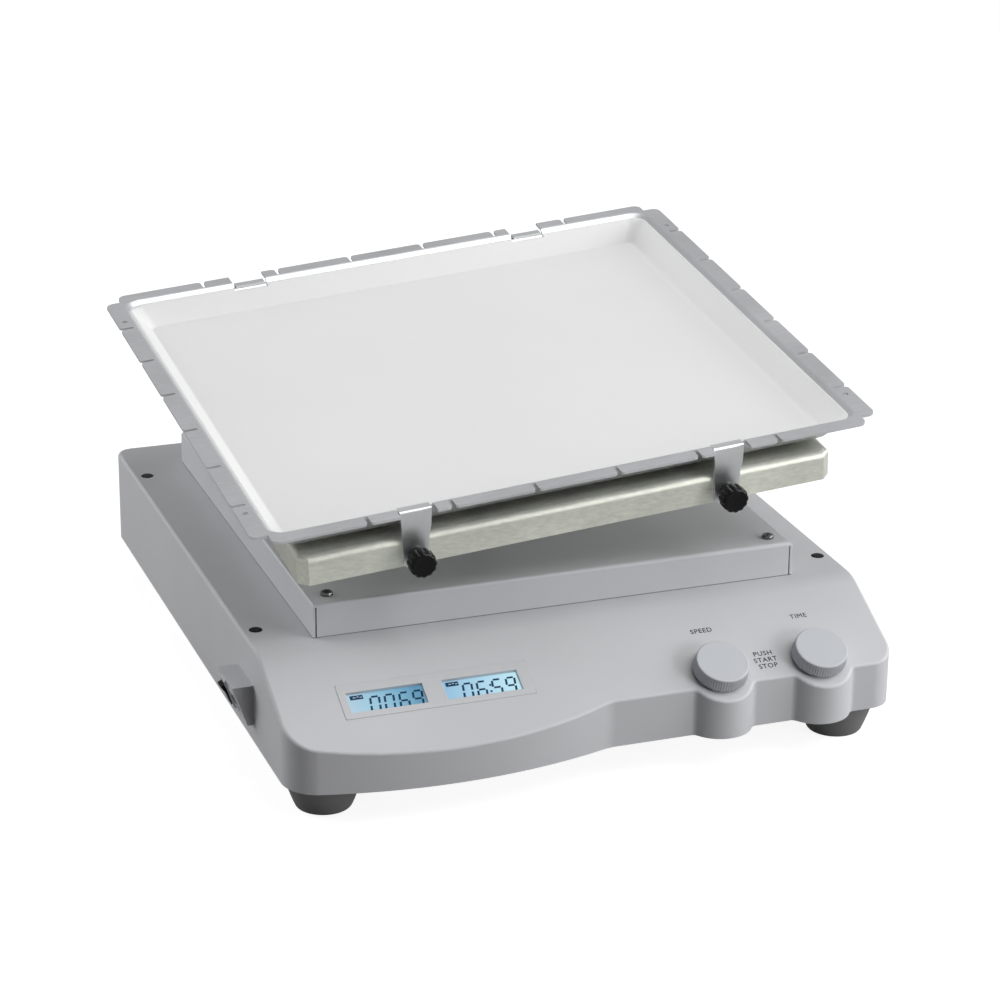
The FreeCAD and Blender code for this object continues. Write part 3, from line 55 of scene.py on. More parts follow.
def onPanel(x, down, lift=0.0):
    slope = math.radians(machine["slope"])
    edge, top = machine["panelTop"]
    base = Vector((x, edge - down * math.cos(slope) - lift * math.sin(slope),
                   top - down * math.sin(slope) + lift * math.cos(slope)))
    return place(*base) @ Matrix.Rotation(slope, 4, "X")


def onPod(y):
    reach, rise = machine["podFace"]
    x, z = machine["podFoot"]
    tilt = math.atan2(reach, rise)
    up = rise / math.cos(tilt) / 2
    turn = Matrix.Rotation(-math.pi / 2 - tilt, 4, "Y")
    return place(x - up * math.sin(tilt), y, z + up * math.cos(tilt)) @ turn


def onDeck():
    azimuth = math.radians(machine["azimuth"])
    leanAxis = Vector((-math.sin(azimuth), math.cos(azimuth), 0))
    lean = Matrix.Rotation(math.radians(machine["lean"]), 4, leanAxis)
    return place(z=machine["pivot"]) @ lean @ Matrix.Rotation(math.radians(machine["deckTurn"]), 4, "Z")


# A socket of a node tree, so that shader maths is written as plain expressions
class Socket:
    def __init__(self, wiring, link):
        self.wiring = wiring
        self.link = link

    def __add__(self, other):
        return self.wiring.maths("ADD", self, other)

    def __radd__(self, other):
        return self.wiring.maths("ADD", other, self)

    def __sub__(self, other):
        return self.wiring.maths("SUBTRACT", self, other)

    def __rsub__(self, other):
        return self.wiring.maths("SUBTRACT", other, self)

    def __mul__(self, other):
        return self.wiring.maths("MULTIPLY", self, other)

    def __rmul__(self, other):
        return self.wiring.maths("MULTIPLY", other, self)


class Wiring:
    def __init__(self, tree):
        self.tree = tree

    def node(self, kind, settings, values, out=0):
        made = self.tree.nodes.new(kind)
        for key, value in settings.items():
            if key == "stops":
                while len(made.color_ramp.elements) < len(value):
                    made.color_ramp.elements.new(0.5)
                for element, (at, colour) in zip(made.color_ramp.elements, value):
                    element.position = at
                    element.color = (*colour, 1)
            else:
                setattr(made, key, value)
        for key, value in values.items():
            if isinstance(value, Socket):
                self.tree.links.new(value.link, made.inputs[key])
            else:
                made.inputs[key].default_value = value
        return Socket(self, made.outputs[out]) if made.outputs else made

    def maths(self, operation, first, second):
        return self.node("ShaderNodeMath", {"operation": operation}, {0: first, 1: second})


class Finish(Wiring):
    def __init__(self, name, tone, roughness, metallic=0.0, coat=0.0, shine=0.5):
        self.material = bpy.data.materials.new(name)
        self.material.use_nodes = True
        super().__init__(self.material.node_tree)
        self.shader = self.tree.nodes["Principled BSDF"]
        self.shader.inputs["Base Color"].default_value = (*tone, 1)
        self.shader.inputs["Roughness"].default_value = roughness
        self.shader.inputs["Metallic"].default_value = metallic
        self.shader.inputs["Coat Weight"].default_value = coat
        self.shader.inputs["Specular IOR Level"].default_value = shine
        self.material.diffuse_color = (*tone, 1)
        self.here = self.node("ShaderNodeTexCoord", {}, {}, "Object")

    def noise(self, scale, detail=3.0, stretch=(1, 1, 1)):
        spot = self.here
        if stretch != (1, 1, 1):
            spot = self.node("ShaderNodeMapping", {}, {"Vector": spot, "Scale": stretch})
        return self.node("ShaderNodeTexNoise", {}, {"Vector": spot, "Scale": scale,
                                                    "Detail": detail, "Roughness": 0.55}, "Fac")

    def span(self, value, low, high, toLow=0.0, toHigh=1.0):
        return self.node("ShaderNodeMapRange", {"clamp": True},
                         {"Value": value, "From Min": low, "From Max": high,
                          "To Min": toLow, "To Max": toHigh}, "Result")

    def blendTones(self, share, low, high):
        def tone(value):
            return value if isinstance(value, Socket) else (*value, 1)
        return self.node("ShaderNodeMix", {"data_type": "RGBA"},
                         {"Factor": share, 6: tone(low), 7: tone(high)}, 2)

    def bump(self, height, strength, distance):
        return self.node("ShaderNodeBump", {}, {"Height": height, "Strength": strength,
                                                "Distance": distance}, "Normal")

    def feed(self, name, value):
        self.tree.links.new(value.link, self.shader.inputs[name])
        return self


def shade(tone, factor):
    return tuple(min(1.0, c * factor) for c in tone)


# Moulded and painted surfaces: a fine grain, a slow drift of tone, faint handling marks and, where asked,
# a painted shadow line along a cover's foot
def grainy(name, tone, roughness, grain, depth, drift=0.03, coat=0.0, shine=0.5, seamShade=None):
    finish = Finish(name, tone, roughness, coat=coat, shine=shine)
    fine = finish.noise(grain, 2.0)
    slow = finish.noise(9.0)
    marks = finish.span(finish.noise(60.0, 5.0, stretch=(1, 0.35, 1)), 0.6, 0.75)
    share = finish.span(slow, 0.3, 0.7)
    paint = finish.blendTones(share, shade(tone, 1 - drift), shade(tone, 1 + drift))
    if seamShade:  # painted shade: the shadow in the gap along a cover's foot, painted darker between two heights
        height = finish.node("ShaderNodeSeparateXYZ", {}, {0: finish.here}, "Z")
        paint = finish.blendTones(finish.span(height, *seamShade), shade(tone, 0.3), paint)
    finish.feed("Base Color", paint)
    finish.feed("Roughness", finish.span(fine, 0.3, 0.7, roughness - 0.05, roughness + 0.05)
                + marks * 0.05)
    finish.feed("Normal", finish.bump(fine, 0.35, depth))
    return finish.material


# Sheet metal with a rolled or brushed grain, drawn out where the stretch is small
def brushed(name, tone, roughness, stretch, contrast=0.025, depth=0.000004, grain=900.0):
    finish = Finish(name, tone, roughness, metallic=1.0)
    lines = finish.noise(grain, 2.0, stretch=stretch)
    slow = finish.noise(14.0)
    share = finish.span(lines * 0.5 + slow * 0.5, 0.35, 0.65)
    finish.feed("Base Color", finish.blendTones(share, shade(tone, 1 - contrast),
                                                shade(tone, 1 + contrast)))
    finish.feed("Roughness", finish.span(slow + lines * 0.4, 0.5, 0.9, roughness - 0.03, roughness + 0.04))
    finish.feed("Normal", finish.bump(lines, 0.15, depth))
    return finish.material


finishes = {
    "housing": grainy("housingPlastic", (0.575, 0.58, 0.60), 0.5, 2600.0, 0.00004),
    # the cover's colour is darkened below 79.3 to 79.7 mm: painted shade along its foot, where it meets
    # the housing
    "cover": grainy("coverPaint", (0.60, 0.61, 0.635), 0.42, 1700.0, 0.00003, seamShade=(0.0793, 0.0797)),
    "knob": grainy("knobPlastic", (0.53, 0.55, 0.585), 0.42, 3200.0, 0.00002, drift=0.015),
    "bezel": grainy("bezelPlastic", (0.56, 0.57, 0.59), 0.38, 3000.0, 0.00002, drift=0.015),
    "liner": grainy("linerWhite", (0.86, 0.865, 0.86), 0.55, 900.0, 0.00002, drift=0.012, shine=0.3),
    "rubber": grainy("footRubber", (0.19, 0.193, 0.19), 0.7, 2200.0, 0.00006, drift=0.08),
    "mat": grainy("matRubber", (0.02, 0.02, 0.021), 0.7, 1500.0, 0.0001, drift=0.1),
    "black": grainy("blackPlastic", (0.008, 0.008, 0.009), 0.45, 2600.0, 0.00002, drift=0.1, shine=0.12),
    "thumb": grainy("thumbPlastic", (0.003, 0.003, 0.003), 0.2, 3000.0, 0.00001, drift=0.1, shine=0.22),
    "ink": grainy("panelInk", (0.012, 0.012, 0.016), 0.5, 3000.0, 0.00001, shine=0.2),
    "motor": grainy("motorPaint", (0.03, 0.03, 0.032), 0.4, 2000.0, 0.00003, drift=0.08),
    "belt": grainy("beltRubber", (0.02, 0.02, 0.02), 0.6, 1800.0, 0.00005, drift=0.1),
    "board": grainy("boardLaminate", (0.02, 0.16, 0.06), 0.3, 900.0, 0.00003, drift=0.1, coat=0.4),
    "deck": brushed("deckSteel", (0.70, 0.71, 0.64), 0.52, (0.3, 1, 1), 0.12, 0.00002, 650.0),
    "tray": brushed("traySheet", (0.68, 0.69, 0.71), 0.4, (0.05, 1, 1), 0.07),
    "clamp": brushed("clampSteel", (0.72, 0.74, 0.745), 0.36, (1, 1, 0.05)),
    "plate": brushed("plateSteel", (0.55, 0.55, 0.55), 0.4, (0.1, 1, 1)),
    "alloy": brushed("machinedAlloy", (0.66, 0.67, 0.68), 0.32, (1, 1, 0.2)),
    "steel": brushed("turnedSteel", (0.52, 0.52, 0.53), 0.25, (0.2, 0.2, 1)),
    "darkScrew": brushed("blackenedScrew", (0.16, 0.16, 0.165), 0.22, (1, 1, 1)),
    "screw": brushed("platedScrew", (0.62, 0.62, 0.63), 0.2, (1, 1, 1)),
}

# Pieces that keep their solids
nodeFinish = {
    "base_plate": "plate", "foot_screws": "screw", "housing_screws": "screw",
    "cover_standoffs": "alloy", "control_board": "board", "board_screws": "screw",
    "speed_encoder_body": "black", "time_encoder_body": "black", "speed_encoder_shaft": "alloy",
    "time_encoder_shaft": "alloy", "power_board": "board", "board_standoffs": "alloy",
    "drive_plate": "plate", "plate_pillars": "alloy", "pillar_screws": "screw",
    "bearing_housing": "alloy", "turret_screws": "screw", "lower_bearing": "steel",
    "upper_bearing": "steel", "shaft_seal": "belt", "crank_shaft": "steel", "journal_cap": "steel",
    "crank_pulley": "alloy", "crank_nut": "screw", "motor_body": "motor", "motor_screws": "screw",
    "motor_shaft": "steel", "motor_pulley": "alloy", "drive_belt": "belt", "guide_post": "steel",
    "guide_fork": "alloy", "platform_hub": "alloy", "hub_bearings": "steel", "hub_screws": "screw",
    "clamp_nuts": "screw", "anti_slip_mat": "mat",
}


for node, key in nodeFinish.items():
    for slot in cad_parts[node].material_slots:
        slot.material = finishes[key]
print("finishes made:", len(finishes))


# Turning a bmesh into a piece that rides on a body
def makePiece(bm, name, materials, body, replaces=(), matrix=None, sharp=35.0,
              weighted=True):
    if matrix is not None:
        bmesh.ops.transform(bm, matrix=matrix, verts=bm.verts[:])
    mesh = bpy.data.meshes.new(name)
    bm.to_mesh(mesh)
    bm.free()
    for polygon in mesh.polygons:
        polygon.use_smooth = True
    mesh.set_sharp_from_angle(angle=math.radians(sharp))
    for material in materials if isinstance(materials, tuple) else (materials,):
        mesh.materials.append(material)
    piece = bpy.data.objects.new(name, mesh)
    scene.collection.objects.link(piece)
    if weighted:
        even = piece.modifiers.new("evenNormals", "WEIGHTED_NORMAL")
        even.keep_sharp = True
    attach(piece, body)
    if replaces:
        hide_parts(*replaces)


# The solid with its triangles joined, and its crisp edges broken where a piece asks for it
def softCopy(node, name, material, body, edge=0, paint=None):
    bm = bmesh.new()
    bm.from_mesh(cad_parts[node].data)
    bmesh.ops.remove_doubles(bm, verts=bm.verts[:], dist=2e-6)
    bmesh.ops.dissolve_limit(bm, angle_limit=math.radians(0.3), verts=bm.verts[:], edges=bm.edges[:])
    if paint:
        paint(bm)
    if edge:
        crisp = [e for e in bm.edges if len(e.link_faces) == 2
                 and e.calc_face_angle(0) > math.radians(50)]
        bmesh.ops.bevel(bm, geom=crisp, offset=edge * mm, affect="EDGES", segments=2, profile=0.5,
                        material=-1, clamp_overlap=True)
    makePiece(bm, name, material, body, (node,))


softCopy("housing_shell", "housing", finishes["housing"], "housing")
softCopy("top_cover", "topCover", finishes["cover"], "housing")
softCopy("display_bezel", "displayBezel", finishes["bezel"], "housing", edge=0.25)
softCopy("platform_deck", "platformDeck", finishes["deck"], "platform")
softCopy("tray_pan", "trayPan", finishes["tray"], "platform")
softCopy("tray_liner", "trayLiner", finishes["liner"], "platform")
for corner in ("front_left", "front_right", "back_left", "back_right"):
    softCopy("clamp_strap_" + corner, "clampStrap_" + corner, finishes["clamp"], "clamp_" + corner)
print("shells copied")


# Moves what was drawn since the last call to its place on the machine
def placeFresh(bm, matrix):
    fresh = [v for v in bm.verts if not v.tag]
    bmesh.ops.transform(bm, matrix=matrix, verts=fresh)
    for v in fresh:
        v.tag = True


# Draws the next ring out of a loop of edges: its edges and its vertices
def grow(bm, edges):
    step = bmesh.ops.extrude_edge_only(bm, edges=edges)["geom"]
    return ([g for g in step if isinstance(g, bmesh.types.BMEdge)],
            [g for g in step if isinstance(g, bmesh.types.BMVert)])


# Rubber feet: turned from a half profile
footLook = {"radius": 22.0, "toe": 15.0, "height": 20.5, "steps": 64,
            "spots": [(-157.5, -193.5), (157.5, -193.5), (-157.5, 158.0), (157.5, 158.0)]}


def makeFeet(look):
    bm = bmesh.new()
    for x, y in look["spots"]:
        r, toe, top = look["radius"], look["toe"], look["height"]
        profile = [(5.5, 7.0), (5.5, 0.4), (6.0, 0.0), (toe, 0.0), (toe + 0.8, 0.3), (toe + 1.3, 0.9),
                   (r - 4.6, 3.4), (r - 3.1, 7.4), (r - 1.7, 11.2), (r - 0.7, 14.6), (r - 0.2, 17.2),
                   (r, 19.0), (r, top)]
        points = [bm.verts.new(Vector((a, 0, b)) * mm) for a, b in profile]
        chain = [bm.edges.new(pair) for pair in zip(points, points[1:])]
        bmesh.ops.spin(bm, geom=points + chain, axis=(0, 0, 1), cent=(0, 0, 0),
                       angle=math.tau, steps=look["steps"], use_merge=True)
        placeFresh(bm, place(x, y))
    bmesh.ops.holes_fill(bm, edges=[e for e in bm.edges if e.is_boundary], sides=0)
    bmesh.ops.recalc_face_normals(bm, faces=bm.faces[:])
    makePiece(bm, "rubberFeet", finishes["rubber"], "housing", ("rubber_feet",), sharp=40)


makeFeet(footLook)

# Dials: a knurled, tapering skirt and a flat top with a soft rim
dialLook = {"radius": 16.4, "top": 0.951, "height": 8.5, "lift": 1.2, "ridges": 66, "ridge": 0.5,
            "down": 59.4, "x": {"speed": 75.0, "time": 137.2}}


def isValley(v, teeth):
    turn = math.atan2(v.co.y, v.co.x) / math.tau * teeth
    return round(turn) % 2 == 1


def makeDial(which, look):
    bm = bmesh.new()
    teeth = look["ridges"] * 2
    ring = bmesh.ops.create_circle(bm, segments=teeth, radius=look["radius"] * mm, cap_ends=False)
    for i, v in enumerate(ring["verts"]):
        if i % 2:
            v.co *= 1 - look["ridge"] / look["radius"]
    edges = bm.edges[:]
    low, high, top = look["lift"], look["lift"] + look["height"], look["top"]
    bmesh.ops.scale(bm, vec=(0.93, 0.93, 1), verts=bm.verts[:])
    bmesh.ops.translate(bm, vec=(0, 0, low * mm), verts=bm.verts[:])
    layers = [(low + 0.7, 0.995, 1.0), (low + 1.0, 1.0, 1.0), (high - 1.5, top + 0.005, 1.0),
              (high - 0.9, top, 0.4), (high - 0.5, top - 0.012, 0.0), (high - 0.15, top - 0.032, 0.0),
              (high, top - 0.058, 0.0)]
    for z, size, ridge in layers:  # height, share of the radius, share of the ridge
        edges, verts = grow(bm, edges)
        for v in verts:
            flat = Vector((v.co.x, v.co.y, 0))
            sink = look["ridge"] * ridge if isValley(v, teeth) else 0
            v.co = flat.normalized() * (look["radius"] * size - sink) * mm
            v.co.z = z * mm
    bmesh.ops.contextual_create(bm, geom=edges)
    under, verts = grow(bm, [e for e in bm.edges if e.is_boundary])
    bmesh.ops.scale(bm, vec=(0.8, 0.8, 1), verts=verts)
    bmesh.ops.contextual_create(bm, geom=under)
    bmesh.ops.recalc_face_normals(bm, faces=bm.faces[:])
    makePiece(bm, which + "Dial", finishes["knob"], which + "_dial", (which + "_knob",),
              onPanel(look["x"][which], look["down"]), sharp=50)


for which in ("speed", "time"):
    makeDial(which, dialLook)
print("feet and dials made")

# Thumb screws: a fluted head with a dished face
thumbLook = {"radius": 8.1, "neck": 5.0, "neckLength": 4.5, "length": 9.0, "flutes": 12, "depth": 0.95,
             "shank": 11.0, "shankRadius": 2.4, "shankTop": 1.5, "seat": 163.3, "height": 3.6,
             "corners": {"front_left": (-95.0, -1), "front_right": (95.0, -1),
                         "back_left": (-95.0, 1), "back_right": (95.0, 1)}}


def makeThumbScrew(corner, x, side, look):
    bm = bmesh.new()
    teeth = look["flutes"] * 4
    bmesh.ops.create_circle(bm, segments=teeth, radius=look["neck"] * mm, cap_ends=True)
    edges = [e for e in bm.edges if e.is_boundary]
    start, end = look["neckLength"], look["neckLength"] + look["length"]
    layers = [(start, look["neck"], 0.0), (start, look["radius"] - 1.2, 0.0),
              (start + 0.9, look["radius"] - 0.2, 1.0), (start + 1.6, look["radius"], 1.0),
              (end - 1.8, look["radius"], 1.0), (end - 0.8, look["radius"] - 0.35, 0.8),
              (end - 0.15, look["radius"] - 1.2, 0.3), (end, look["radius"] - 1.9, 0.0),
              (end - 0.1, look["radius"] - 2.5, 0.0), (end - 0.35, look["radius"] - 3.2, 0.0),
              (end - 0.45, 1.2, 0.0)]
    for z, radius, flute in layers:  # height, radius, share of the flutes' depth
        edges, verts = grow(bm, edges)
        for v in verts:
            turn = math.atan2(v.co.y, v.co.x)
            wave = 0.5 - 0.5 * math.cos(turn * look["flutes"])
            reach = radius - look["depth"] * flute * wave ** 3
            v.co = Vector((math.cos(turn) * reach, math.sin(turn) * reach, z)) * mm
    bmesh.ops.contextual_create(bm, geom=edges)
    bmesh.ops.recalc_face_normals(bm, faces=bm.faces[:])
    thin = look["shankRadius"] * mm
    shank = bmesh.ops.create_cone(bm, cap_ends=True, segments=24, radius1=thin, radius2=thin,
                                  depth=look["shank"] * mm)
    bmesh.ops.translate(bm, vec=(0, 0, (look["shankTop"] - look["shank"] / 2) * mm), verts=shank["verts"])
    turnSide = Matrix.Rotation(0 if side < 0 else math.pi, 4, "Z")
    lay = Matrix.Translation(Vector((-x * side, -look["seat"], look["height"])) * mm) @ \
        Matrix.Rotation(math.pi / 2, 4, "X")
    makePiece(bm, "thumbScrew_" + corner, finishes["thumb"], "thumb_screw_" + corner,
              ("clamp_screw_" + corner,), onDeck() @ turnSide @ lay, sharp=40)


for corner, (x, side) in thumbLook["corners"].items():
    makeThumbScrew(corner, x, side, thumbLook)

# Cross-head screws of the cover, their cross recesses painted black as painted shade
screwLook = {"radius": 3.6, "flat": 0.72, "height": 2.3, "arm": 2.1, "half": 0.42, "depth": 1.3,
             "dome": [(0.93, 0.86), (0.72, 0.95), (0.42, 1.0), (0.0, 1.0)],
             "spots": [(-137.0, -134.5), (137.0, -134.5), (-137.0, 140.5), (137.0, 140.5)],
             "turns": [0.35, 0.9, 0.1, 1.2]}


def makeCoverScrews(look):
    bm = bmesh.new()
    for (x, y), turn in zip(look["spots"], look["turns"]):
        arm, half = look["arm"], look["half"]
        cross = [(arm, -half), (arm, half), (half, half), (half, arm), (-half, arm), (-half, half),
                 (-arm, half), (-arm, -half), (-half, -half), (-half, -arm), (half, -arm),
                 (half, -half)]
        inner = [bm.verts.new(Vector((a, b, look["height"])) * mm) for a, b in cross]
        innerEdges = [bm.edges.new((inner[i], inner[(i + 1) % 12])) for i in range(12)]
        ring = bmesh.ops.create_circle(bm, segments=24, radius=look["radius"] * look["flat"] * mm,
                                       cap_ends=False)["verts"]
        bmesh.ops.translate(bm, vec=(0, 0, look["height"] * mm), verts=ring)
        ringEdges = [e for e in bm.edges if e.verts[0] in ring and e.verts[1] in ring]
        bmesh.ops.triangle_fill(bm, use_beauty=True, edges=innerEdges + ringEdges)
        for f in bm.faces[:]:
            if all(v in inner for v in f.verts):
                bm.faces.remove(f)
        for z, radius in look["dome"]:
            ringEdges, verts = grow(bm, ringEdges)
            for v in verts:
                flat = Vector((v.co.x, v.co.y, 0)).normalized() * look["radius"] * radius
                v.co = Vector((flat.x, flat.y, look["height"] * z)) * mm
        bmesh.ops.contextual_create(bm, geom=ringEdges)
        innerEdges, verts = grow(bm, innerEdges)
        bmesh.ops.translate(bm, vec=(0, 0, -look["depth"] * mm), verts=verts)
        bmesh.ops.scale(bm, vec=(0.7, 0.7, 1), verts=verts)
        bmesh.ops.contextual_create(bm, geom=innerEdges)
        # The cross recess takes the black finish: painted shade in the recess
        for f in bm.faces:
            if any(v in verts for v in f.verts):
                f.material_index = 1
        placeFresh(bm, place(x, y, machine["coverTop"]) @ Matrix.Rotation(turn, 4, "Z"))
    bmesh.ops.recalc_face_normals(bm, faces=bm.faces[:])
    makePiece(bm, "coverScrews", (finishes["darkScrew"], finishes["black"]), "housing", ("cover_screws",),
              sharp=35)


makeCoverScrews(screwLook)
print("screws made")

# Plugs, rocker, its frame and the power socket, whose bore is painted black: painted shade in the hole
boreRadius = 3.7


# Faces inside the socket's bore take the black finish: painted shade in the hole
def paintBoreShade(bm):
    back = onPod(machine["inletY"]).inverted()
    for f in bm.faces:
        if all((back @ v.co).xy.length < boreRadius * mm for v in f.verts):
            f.material_index = 1


softCopy("hole_plugs", "holePlugs", finishes["black"], "housing")
softCopy("switch_rocker", "switchRocker", finishes["black"], "power_rocker")
softCopy("switch_frame", "switchFrame", finishes["housing"], "housing")
softCopy("power_inlet", "powerInlet", (finishes["bezel"], finishes["black"]), "housing", paint=paintBoreShade)

# Displays: a backlit panel, its label box and slanted seven-bar figures
displayLook = {"centre": [(-120.75, 44.15), (-64.5, 44.15)], "size": (51.0, 20.8), "drop": -2.1,
               "thick": 2.6, "lift": 0.06, "rim": 0.04, "dots": (0.3, 0.7), "glowSpan": (-0.1377, -0.0368),
               "figures": [[("0", -9.1), ("0", -0.7), ("6", 7.9), ("9", 15.9)],
                           [("0", -10.8), ("6", -2.5), (":", 5.2), ("5", 6.6), ("9", 14.9)]],
               "figureSize": (5.1, 11.2), "bar": 1.3, "slant": 0.15, "rise": -7.3,
               "label": (-20.0, -12.4, 3.4, 6.4),
               "marks": [(-18.2, 4.9, 1.7, 0.6), (-16.2, 5.2, 1.2, 0.6), (-14.4, 4.8, 1.3, 0.6)],
               "glow": [(0.0, (0.50, 0.64, 0.74)), (0.15, (0.34, 0.57, 0.70)), (0.3, (0.21, 0.45, 0.60)),
                        (0.43, (0.09, 0.28, 0.43)), (0.56, (0.28, 0.50, 0.68)), (0.75, (0.40, 0.64, 0.80)),
                        (1.0, (0.56, 0.86, 0.95))]}


def displayFinish(name, look):
    finish = Finish(name, (0.04, 0.08, 0.12), 0.2, coat=0.1, shine=0.3)
    across = finish.node("ShaderNodeSeparateXYZ", {}, {0: finish.here}, "X")
    share = finish.span(across + finish.noise(45.0, 2.0) * 0.006, *look["glowSpan"])
    glow = finish.node("ShaderNodeValToRGB", {"stops": look["glow"]}, {0: share}, "Color")
    finish.feed("Emission Color", glow)
    finish.shader.inputs["Emission Strength"].default_value = 0.85
    return finish.material


bars = {"0": "abcdef", "5": "acdfg", "6": "acdefg", "9": "abcdfg"}  # a top, g middle, d foot


# One bar of a figure: a thin plate with a sloping rim
def makeBar(bm, cx, cy, w, h, look):
    count = len(bm.faces)
    made = bmesh.ops.create_grid(bm, x_segments=1, y_segments=1, size=0.5)["verts"]
    for v in made:
        v.co = Vector(((cx + v.co.x * w) * mm, (cy + v.co.y * h) * mm, 0))
        v.co.x += v.co.y * look["slant"]
    faces = [f for f in bm.faces if all(v in made for v in f.verts)]
    bmesh.ops.inset_region(bm, faces=faces, thickness=min(w, h) * 0.2 * mm, depth=look["rim"] * mm)
    edges, verts = grow(bm, [e for e in bm.edges if e.is_boundary and e.verts[0] in made])
    bmesh.ops.translate(bm, vec=(0, 0, -look["rim"] * mm), verts=verts)
    bmesh.ops.contextual_create(bm, geom=edges)
    return list({v for f in list(bm.faces)[count:] for v in f.verts})


def makeDisplay(i, look):
    x, down = look["centre"][i]
    which = ("speed", "time")[i]
    bm = bmesh.new()
    bmesh.ops.create_grid(bm, x_segments=1, y_segments=1, size=0.5)
    bmesh.ops.scale(bm, vec=(look["size"][0] * mm, look["size"][1] * mm, 1), verts=bm.verts[:])
    bmesh.ops.solidify(bm, geom=bm.faces[:], thickness=look["thick"] * mm)
    bmesh.ops.recalc_face_normals(bm, faces=bm.faces[:])
    high = max(v.co.z for v in bm.verts)
    bmesh.ops.translate(bm, vec=(0, 0, -high + look["drop"] * mm), verts=bm.verts[:])
    makePiece(bm, which + "Screen", screenFinish, "housing", (which + "_display",),
              onPanel(x, down), weighted=False)
    bm = bmesh.new()
    wide, tall = look["figureSize"]
    half, bar = tall / 2, look["bar"]
    for figure, at in look["figures"][i]:
        if figure == ":":
            for dot in look["dots"]:
                makeBar(bm, at, look["rise"] + tall * dot, bar, bar, look)
            continue
        rects = {"a": (at + wide / 2, tall, wide - bar, bar), "g": (at + wide / 2, half, wide - bar, bar),
                 "d": (at + wide / 2, 0, wide - bar, bar),
                 "f": (at, half * 1.5, bar, half - bar), "b": (at + wide, half * 1.5, bar, half - bar),
                 "e": (at, half * 0.5, bar, half - bar), "c": (at + wide, half * 0.5, bar, half - bar)}
        for key in bars[figure]:
            cx, cy, w, h = rects[key]
            makeBar(bm, cx, cy + look["rise"], w, h, look)
    x0, x1, y0, y1 = look["label"]
    makeBar(bm, (x0 + x1) / 2, (y0 + y1) / 2, x1 - x0, y1 - y0, dict(look, slant=0))
    count = len(bm.faces)
    for mark in look["marks"]:
        fresh = makeBar(bm, *mark, look)
        bmesh.ops.translate(bm, vec=(0, 0, look["lift"] * mm), verts=fresh)
    for f in list(bm.faces)[count:]:
        f.material_index = 1
    makePiece(bm, which + "Figures", (finishes["lcdInk"], finishes["lcdMark"]), "housing",
              matrix=onPanel(x, down, look["drop"] + look["lift"]), weighted=False)


finishes["lcdInk"] = grainy("displayInk", (0.014, 0.05, 0.11), 0.5, 2600.0, 0.00001, drift=0.1, shine=0.1)
finishes["lcdMark"] = grainy("displayMark", (0.45, 0.62, 0.75), 0.5, 2600.0, 0.00001, shine=0.1)
screenFinish = displayFinish("displayGlow", displayLook)
for i in range(2):
    makeDisplay(i, displayLook)
print("displays made")

# Panel lettering: word, place on the panel, and how much bolder its strokes are
letterLook = {"size": 4.6, "spread": 1.12, "thick": 0.05, "lift": 0.03,
              "words": [("SPEED", 75.4, 27.6, 0.03), ("TIME", 137.7, 26.5, 0.0),
                        ("PUSH", 105.6, 50.4, 0.03), ("START", 105.6, 55.2, 0.03),
                        ("STOP", 105.6, 59.9, 0.03)]}


def makeLettering(look):
    bm = bmesh.new()
    for word, x, down, bold in look["words"]:
        curve = bpy.data.curves.new("word" + word, "FONT")
        curve.body = word
        curve.align_x = "CENTER"
        curve.align_y = "CENTER"
        curve.size = look["size"] * mm
        curve.space_character = look["spread"]
        curve.extrude = look["thick"] * mm
        curve.offset = bold * mm
        curve.resolution_u = 3
        drawn = bpy.data.objects.new("word" + word, curve)
        flat = bpy.data.meshes.new_from_object(drawn)
        flat.transform(onPanel(x, down, look["lift"]))
        bm.from_mesh(flat)
        bpy.data.objects.remove(drawn)
        bpy.data.meshes.remove(flat)
        bpy.data.curves.remove(curve)
    bmesh.ops.remove_doubles(bm, verts=bm.verts[:], dist=1e-7)
    makePiece(bm, "panelLettering", finishes["ink"], "housing", weighted=False)


makeLettering(letterLook)
print("lettering made")


# Camera at the photograph's angle
cameraLook = {"azimuth": -20.088, "elevation": 21.454, "roll": 0.701, "distance": 1925.152,
              "target": (16.431, 0.571, 88.376), "lens": 111.322, "sensor": 36.0, "clip": (0.05, 20.0)}


def makeCamera(look):
    az, el, roll = (math.radians(look[k]) for k in ("azimuth", "elevation", "roll"))
    back = Vector((math.sin(az) * math.cos(el), -math.cos(az) * math.cos(el), math.sin(el)))
    across = Vector((0, 0, 1)).cross(back).normalized()
    up = back.cross(across)
    right = across * math.cos(roll) + up * math.sin(roll)
    top = up * math.cos(roll) - across * math.sin(roll)
    data = bpy.data.cameras.new("photoCamera")
    data.lens = look["lens"]
    data.sensor_width = look["sensor"]
    data.clip_start, data.clip_end = look["clip"]
    camera = bpy.data.objects.new("photoCamera", data)
    scene.collection.objects.link(camera)
    turn = Matrix((right, top, back)).transposed().to_4x4()
    camera.matrix_world = place(*look["target"]) @ Matrix.Translation(back * look["distance"] * mm) @ turn
    scene.camera = camera


makeCamera(cameraLook)

# Pale floor, pale surroundings and soft lamps: place, width and power, where a matt one leaves no gloss
lightLook = {"world": 0.07, "worldGloss": 0.53, "floor": 0.3, "floorSeen": 0.88, "floorGloss": 0.2,
             "floorSize": 6.0, "aim": (0, 0, 0.1),
             "lamps": {"topLamp": ((0.2, -0.1, 2.1), 1.4, 7.5),
                       "highLamp": ((1.0, -1.0, 1.9), 1.6, 21.0),
                       "nearLamp": ((0.95, -1.3, 0.45), 0.5, 6.4),
                       "rightLamp": ((2.2, -0.6, 0.8), 1.8, 26.0),
                       "sideLamp": ((-1.7, 1.4, 1.0), 2.2, 40.0)}, "matt": ("sideLamp",)}


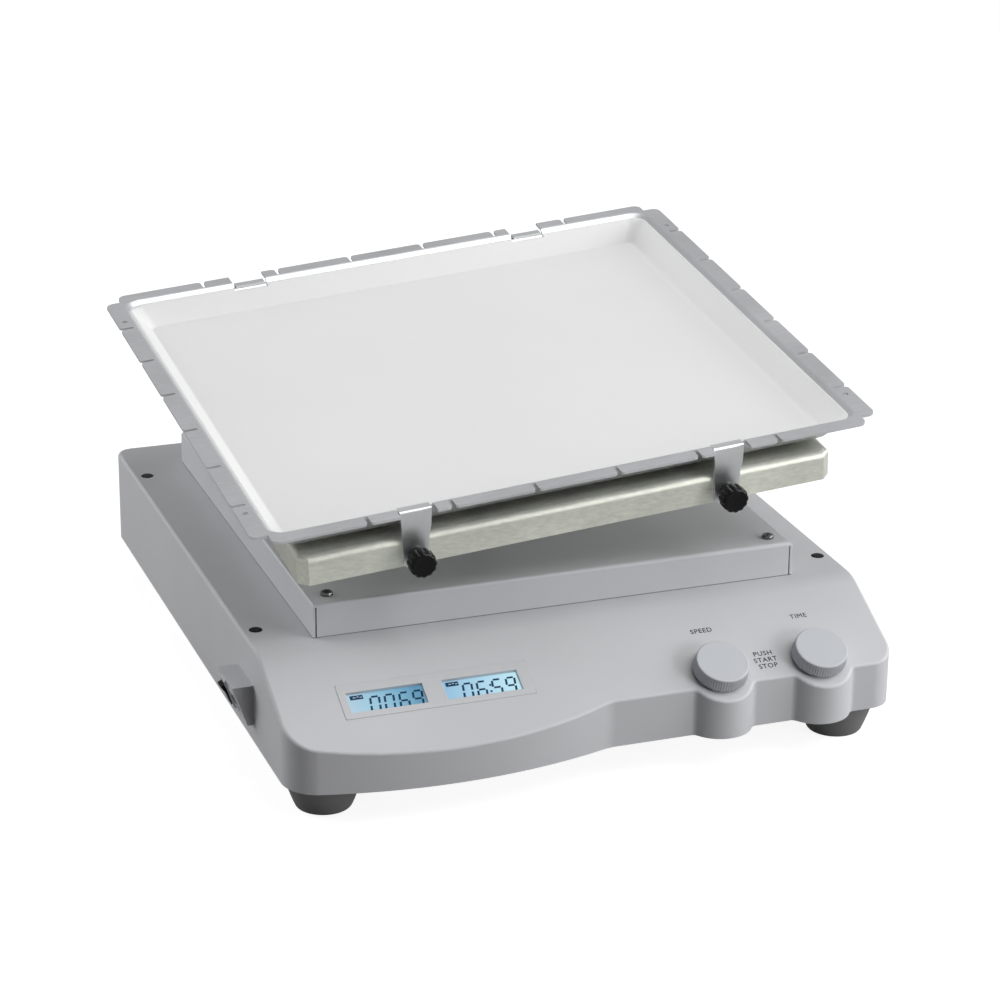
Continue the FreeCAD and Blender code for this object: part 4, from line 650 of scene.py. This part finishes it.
def makeStage(look):
    bm = bmesh.new()
    bmesh.ops.create_grid(bm, x_segments=1, y_segments=1, size=look["floorSize"])
    mesh = bpy.data.meshes.new("floor")
    bm.to_mesh(mesh)
    bm.free()
    floor = bpy.data.objects.new("floor", mesh)
    scene.collection.objects.link(floor)
    pale = bpy.data.materials.new("paleFloor")
    pale.use_nodes = True
    pale.node_tree.nodes.clear()
    wiring = Wiring(pale.node_tree)
    matt = wiring.node("ShaderNodeBsdfDiffuse", {}, {"Color": (look["floor"],) * 3 + (1,)})
    seen = wiring.node("ShaderNodeLightPath", {}, {}, "Is Camera Ray") * look["floorSeen"]
    gloss = wiring.node("ShaderNodeLightPath", {}, {}, "Is Glossy Ray") * look["floorGloss"]
    glow = wiring.node("ShaderNodeEmission", {}, {"Strength": seen + gloss})
    both = wiring.node("ShaderNodeAddShader", {}, {0: matt, 1: glow})
    wiring.node("ShaderNodeOutputMaterial", {}, {"Surface": both})
    mesh.materials.append(pale)
    world = bpy.data.worlds.new("paleRoom")
    scene.world = world
    world.use_nodes = True
    world.node_tree.nodes.clear()
    wiring = Wiring(world.node_tree)
    seen = wiring.node("ShaderNodeLightPath", {}, {}, "Is Camera Ray") + \
        wiring.node("ShaderNodeLightPath", {}, {}, "Is Transmission Ray")
    gloss = wiring.node("ShaderNodeLightPath", {}, {}, "Is Glossy Ray")
    level = look["world"] + seen * (1 - look["world"]) + gloss * (look["worldGloss"] - look["world"])
    light = wiring.node("ShaderNodeBackground", {}, {"Color": (1, 1, 1, 1), "Strength": level})
    wiring.node("ShaderNodeOutputWorld", {}, {"Surface": light})
    for name, (spot, size, power) in look["lamps"].items():
        data = bpy.data.lights.new(name, "AREA")
        data.shape = "DISK"
        data.size = size
        data.energy = power
        lamp = bpy.data.objects.new(name, data)
        scene.collection.objects.link(lamp)
        lamp.visible_glossy = name not in look["matt"]
        lamp.location = spot
        aim = Vector(look["aim"]) - lamp.location
        lamp.rotation_mode = "QUATERNION"
        lamp.rotation_quaternion = aim.to_track_quat("-Z", "Y")


makeStage(lightLook)
scene.view_settings.view_transform = "Standard"
print("stage, lamps and camera made")
